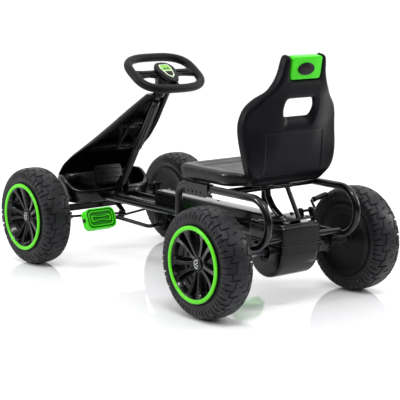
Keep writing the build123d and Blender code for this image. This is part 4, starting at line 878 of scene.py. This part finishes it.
# ------------------------------------------------------------------ pedals and crank
pt = math.radians(24)
for name, side, py, pz, body in (("pedal_left", 1, -187, 165, "pedal_l"), ("pedal_right", -1, 43, 131, "pedal_r")):
    nrm = Vector((0, math.cos(pt), math.sin(pt)))
    vert = Vector((0, -math.sin(pt), math.cos(pt)))
    m = frame_matrix((side * 199, py, pz), (1, 0, 0), vert, nrm)
    # the base plate sunk between the rims takes the darker green: painted shade in the recess
    bits = [plate("b", [rounded_rect(103, 63, 17, 10)], 17, 4.0, m, "green_painted_shade", body, res=4), plate("b", [rounded_rect(104, 64, 18, 10), rounded_rect(99, 59, 15, 10)], 19, 1.2, m, "green", body, res=2)]
    for s in (1, -1):
        for (w, h, r), (w2, h2, r2) in (((104, 64, 18), (95, 55, 14)), ((86, 47, 14), (79, 40, 11))):
            o = plate("b", [rounded_rect(w, h, r, 8), rounded_rect(w2, h2, r2, 8)], 4.6, 1.3, m, "green", body, res=2, keep=True)
            cc = coords(o); cc[:, 2] += s * 10.8; set_coords(o, cc); o.data.transform(m)
            o.data.materials.append(M["green"]); o.data.polygons.foreach_set("use_smooth", [True] * len(o.data.polygons)); o.data.set_sharp_from_angle(angle=0.7)
            bits.append(o)
        # waisted inner rib
        t = np.linspace(0, 2 * math.pi, 96, endpoint=False)
        wx = 34 * np.sign(np.cos(t)) * np.abs(np.cos(t)) ** 0.55
        wy = (5.5 + 9.5 * (np.abs(wx) / 34) ** 2) * np.sign(np.sin(t)) * np.abs(np.sin(t)) ** 0.55
        rib_o = np.stack([wx, wy], 1)
        o = plate("b", [rib_o, rib_o * [0.90, 0.66]], 4.6, 1.0, m, "green", body, res=2, keep=True)
        cc = coords(o); cc[:, 2] += s * 10.8; set_coords(o, cc); o.data.transform(m)
        o.data.materials.append(M["green"]); o.data.polygons.foreach_set("use_smooth", [True] * len(o.data.polygons)); o.data.set_sharp_from_angle(angle=0.7)
        bits.append(o)
    ob = join(name + "_shape", bits)
    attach(ob, body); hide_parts(name)

path = corner_path([(-256, 43, 131), (-138, 43, 131), (-98, -72, 148), (98, -72, 148), (138, -187, 165), (256, -187, 165)], 16, 10)
tube("crank_axle_shape", resample(path, 3), 6.0, "powder", "crank", ["crank_axle"], seg=24)

# ------------------------------------------------------------------ hand brake
path = corner_path([(-42, 436, 252), (-106, 436, 252), (-130, 394, 268), (-218, 358, 271)], 12, 10)
tube("brake_lever_shape", resample(path, 2.5), 4.0, "powder", "hand_brake", ["brake_lever"], seg=20)
g0, g1 = np.array([-143, 388.68, 268.44]), np.array([-222, 356.36, 271.14])
n = 60
line = g0 + (g1 - g0) * np.linspace(0, 1, n)[:, None]
t = np.linspace(0, 1, n)
sc = 0.92 + 0.08 * np.cos(t * 2 * math.pi * 9) * (t > 0.08) * (t < 0.94)
sc[t < 0.04] = 1.08
tube("brake_grip_shape", line, 7.4, "grip", "hand_brake", ["brake_grip"], seg=28, scale=sc)

# ------------------------------------------------------------------ CAD nodes that stay
for node, key in CAD_FINISH.items():
    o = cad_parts[node]
    if len(o.material_slots) == 0:
        o.data.materials.append(M[key])
    for s in o.material_slots:
        s.link = "OBJECT"
        s.material = M[key]

# ------------------------------------------------------------------ floor, world and lights
def floor_material():
    m = bpy.data.materials.new("studio_floor")
    m.use_nodes = True
    t = m.node_tree
    bs = t.nodes["Principled BSDF"]
    n1 = t.nodes.new("ShaderNodeTexNoise")
    n1.inputs["Scale"].default_value = 3.0
    tc = t.nodes.new("ShaderNodeTexCoord")
    t.links.new(tc.outputs["Object"], n1.inputs["Vector"])
    r = t.nodes.new("ShaderNodeValToRGB")
    r.color_ramp.elements[0].color = (0.93, 0.93, 0.945, 1)
    r.color_ramp.elements[1].color = (0.95, 0.95, 0.965, 1)
    t.links.new(n1.outputs[0], r.inputs[0])
    t.links.new(r.outputs[0], bs.inputs["Base Color"])
    bs.inputs["Roughness"].default_value = 0.06
    bs.inputs["Specular IOR Level"].default_value = 0.75
    bs.inputs["Coat Weight"].default_value = 0.35
    bs.inputs["Coat Roughness"].default_value = 0.04
    return m


me = bpy.data.meshes.new("studio_floor")
me.from_pydata([(-60, -60, 0), (60, -60, 0), (60, 60, 0), (-60, 60, 0)], [], [(0, 1, 2, 3)])
floor = bpy.data.objects.new("studio_floor", me)
bpy.context.scene.collection.objects.link(floor)
me.materials.append(floor_material())

world = bpy.data.worlds.new("studio")
bpy.context.scene.world = world
world.use_nodes = True
t = world.node_tree
bg = t.nodes["Background"]
tc = t.nodes.new("ShaderNodeTexCoord")
sep = t.nodes.new("ShaderNodeSeparateXYZ")
t.links.new(tc.outputs["Generated"], sep.inputs[0])
# how far a direction points to the bright wall beyond the kart
dot = t.nodes.new("ShaderNodeVectorMath"); dot.operation = "DOT_PRODUCT"
dot.inputs[1].default_value = (-0.61, -0.79, 0.0)
t.links.new(tc.outputs["Generated"], dot.inputs[0])
wall = t.nodes.new("ShaderNodeMapRange")
wall.interpolation_type = "SMOOTHSTEP"
for k, v_ in (("From Min", -0.25), ("From Max", 0.55), ("To Min", 0.10), ("To Max", 1.04)):
    wall.inputs[k].default_value = v_
t.links.new(dot.outputs["Value"], wall.inputs["Value"])
high = t.nodes.new("ShaderNodeMapRange")
high.interpolation_type = "SMOOTHSTEP"
for k, v_ in (("From Min", 0.30), ("From Max", 0.85), ("To Min", 0.0), ("To Max", 1.0)):
    high.inputs[k].default_value = v_
t.links.new(sep.outputs[2], high.inputs["Value"])
mix = t.nodes.new("ShaderNodeMix")
mix.data_type = "FLOAT"
mix.inputs["B"].default_value = 1.75
t.links.new(high.outputs[0], mix.inputs["Factor"])
t.links.new(wall.outputs[0], mix.inputs["A"])
bg.inputs["Color"].default_value = (1.0, 1.0, 1.0, 1)
t.links.new(mix.outputs["Result"], bg.inputs["Strength"])


def area(name, loc, target, size, power, colour=(1, 1, 1), size_y=None):
    d = bpy.data.lights.new(name, "AREA")
    d.shape = "RECTANGLE"
    d.size, d.size_y = size, size_y or size
    d.energy = power
    d.color = colour
    o = bpy.data.objects.new(name, d)
    bpy.context.scene.collection.objects.link(o)
    o.location = loc
    o.rotation_mode = "QUATERNION"
    o.rotation_quaternion = (Vector(target) - Vector(loc)).to_track_quat("-Z", "Y")
    return o


area("left_strip", (3.0, -1.4, 1.7), (0, 0, 0.3), 0.35, 60, size_y=1.6)
area("right_strip", (-2.8, 1.6, 1.5), (0, 0.2, 0.35), 0.35, 50, size_y=1.6)
area("key_strip", (1.0, 1.6, 3.2), (0, 0.1, 0.2), 1.3, 48, size_y=0.35)

bpy.context.scene.view_settings.view_transform = "Standard"
bpy.context.scene.view_settings.look = "None"
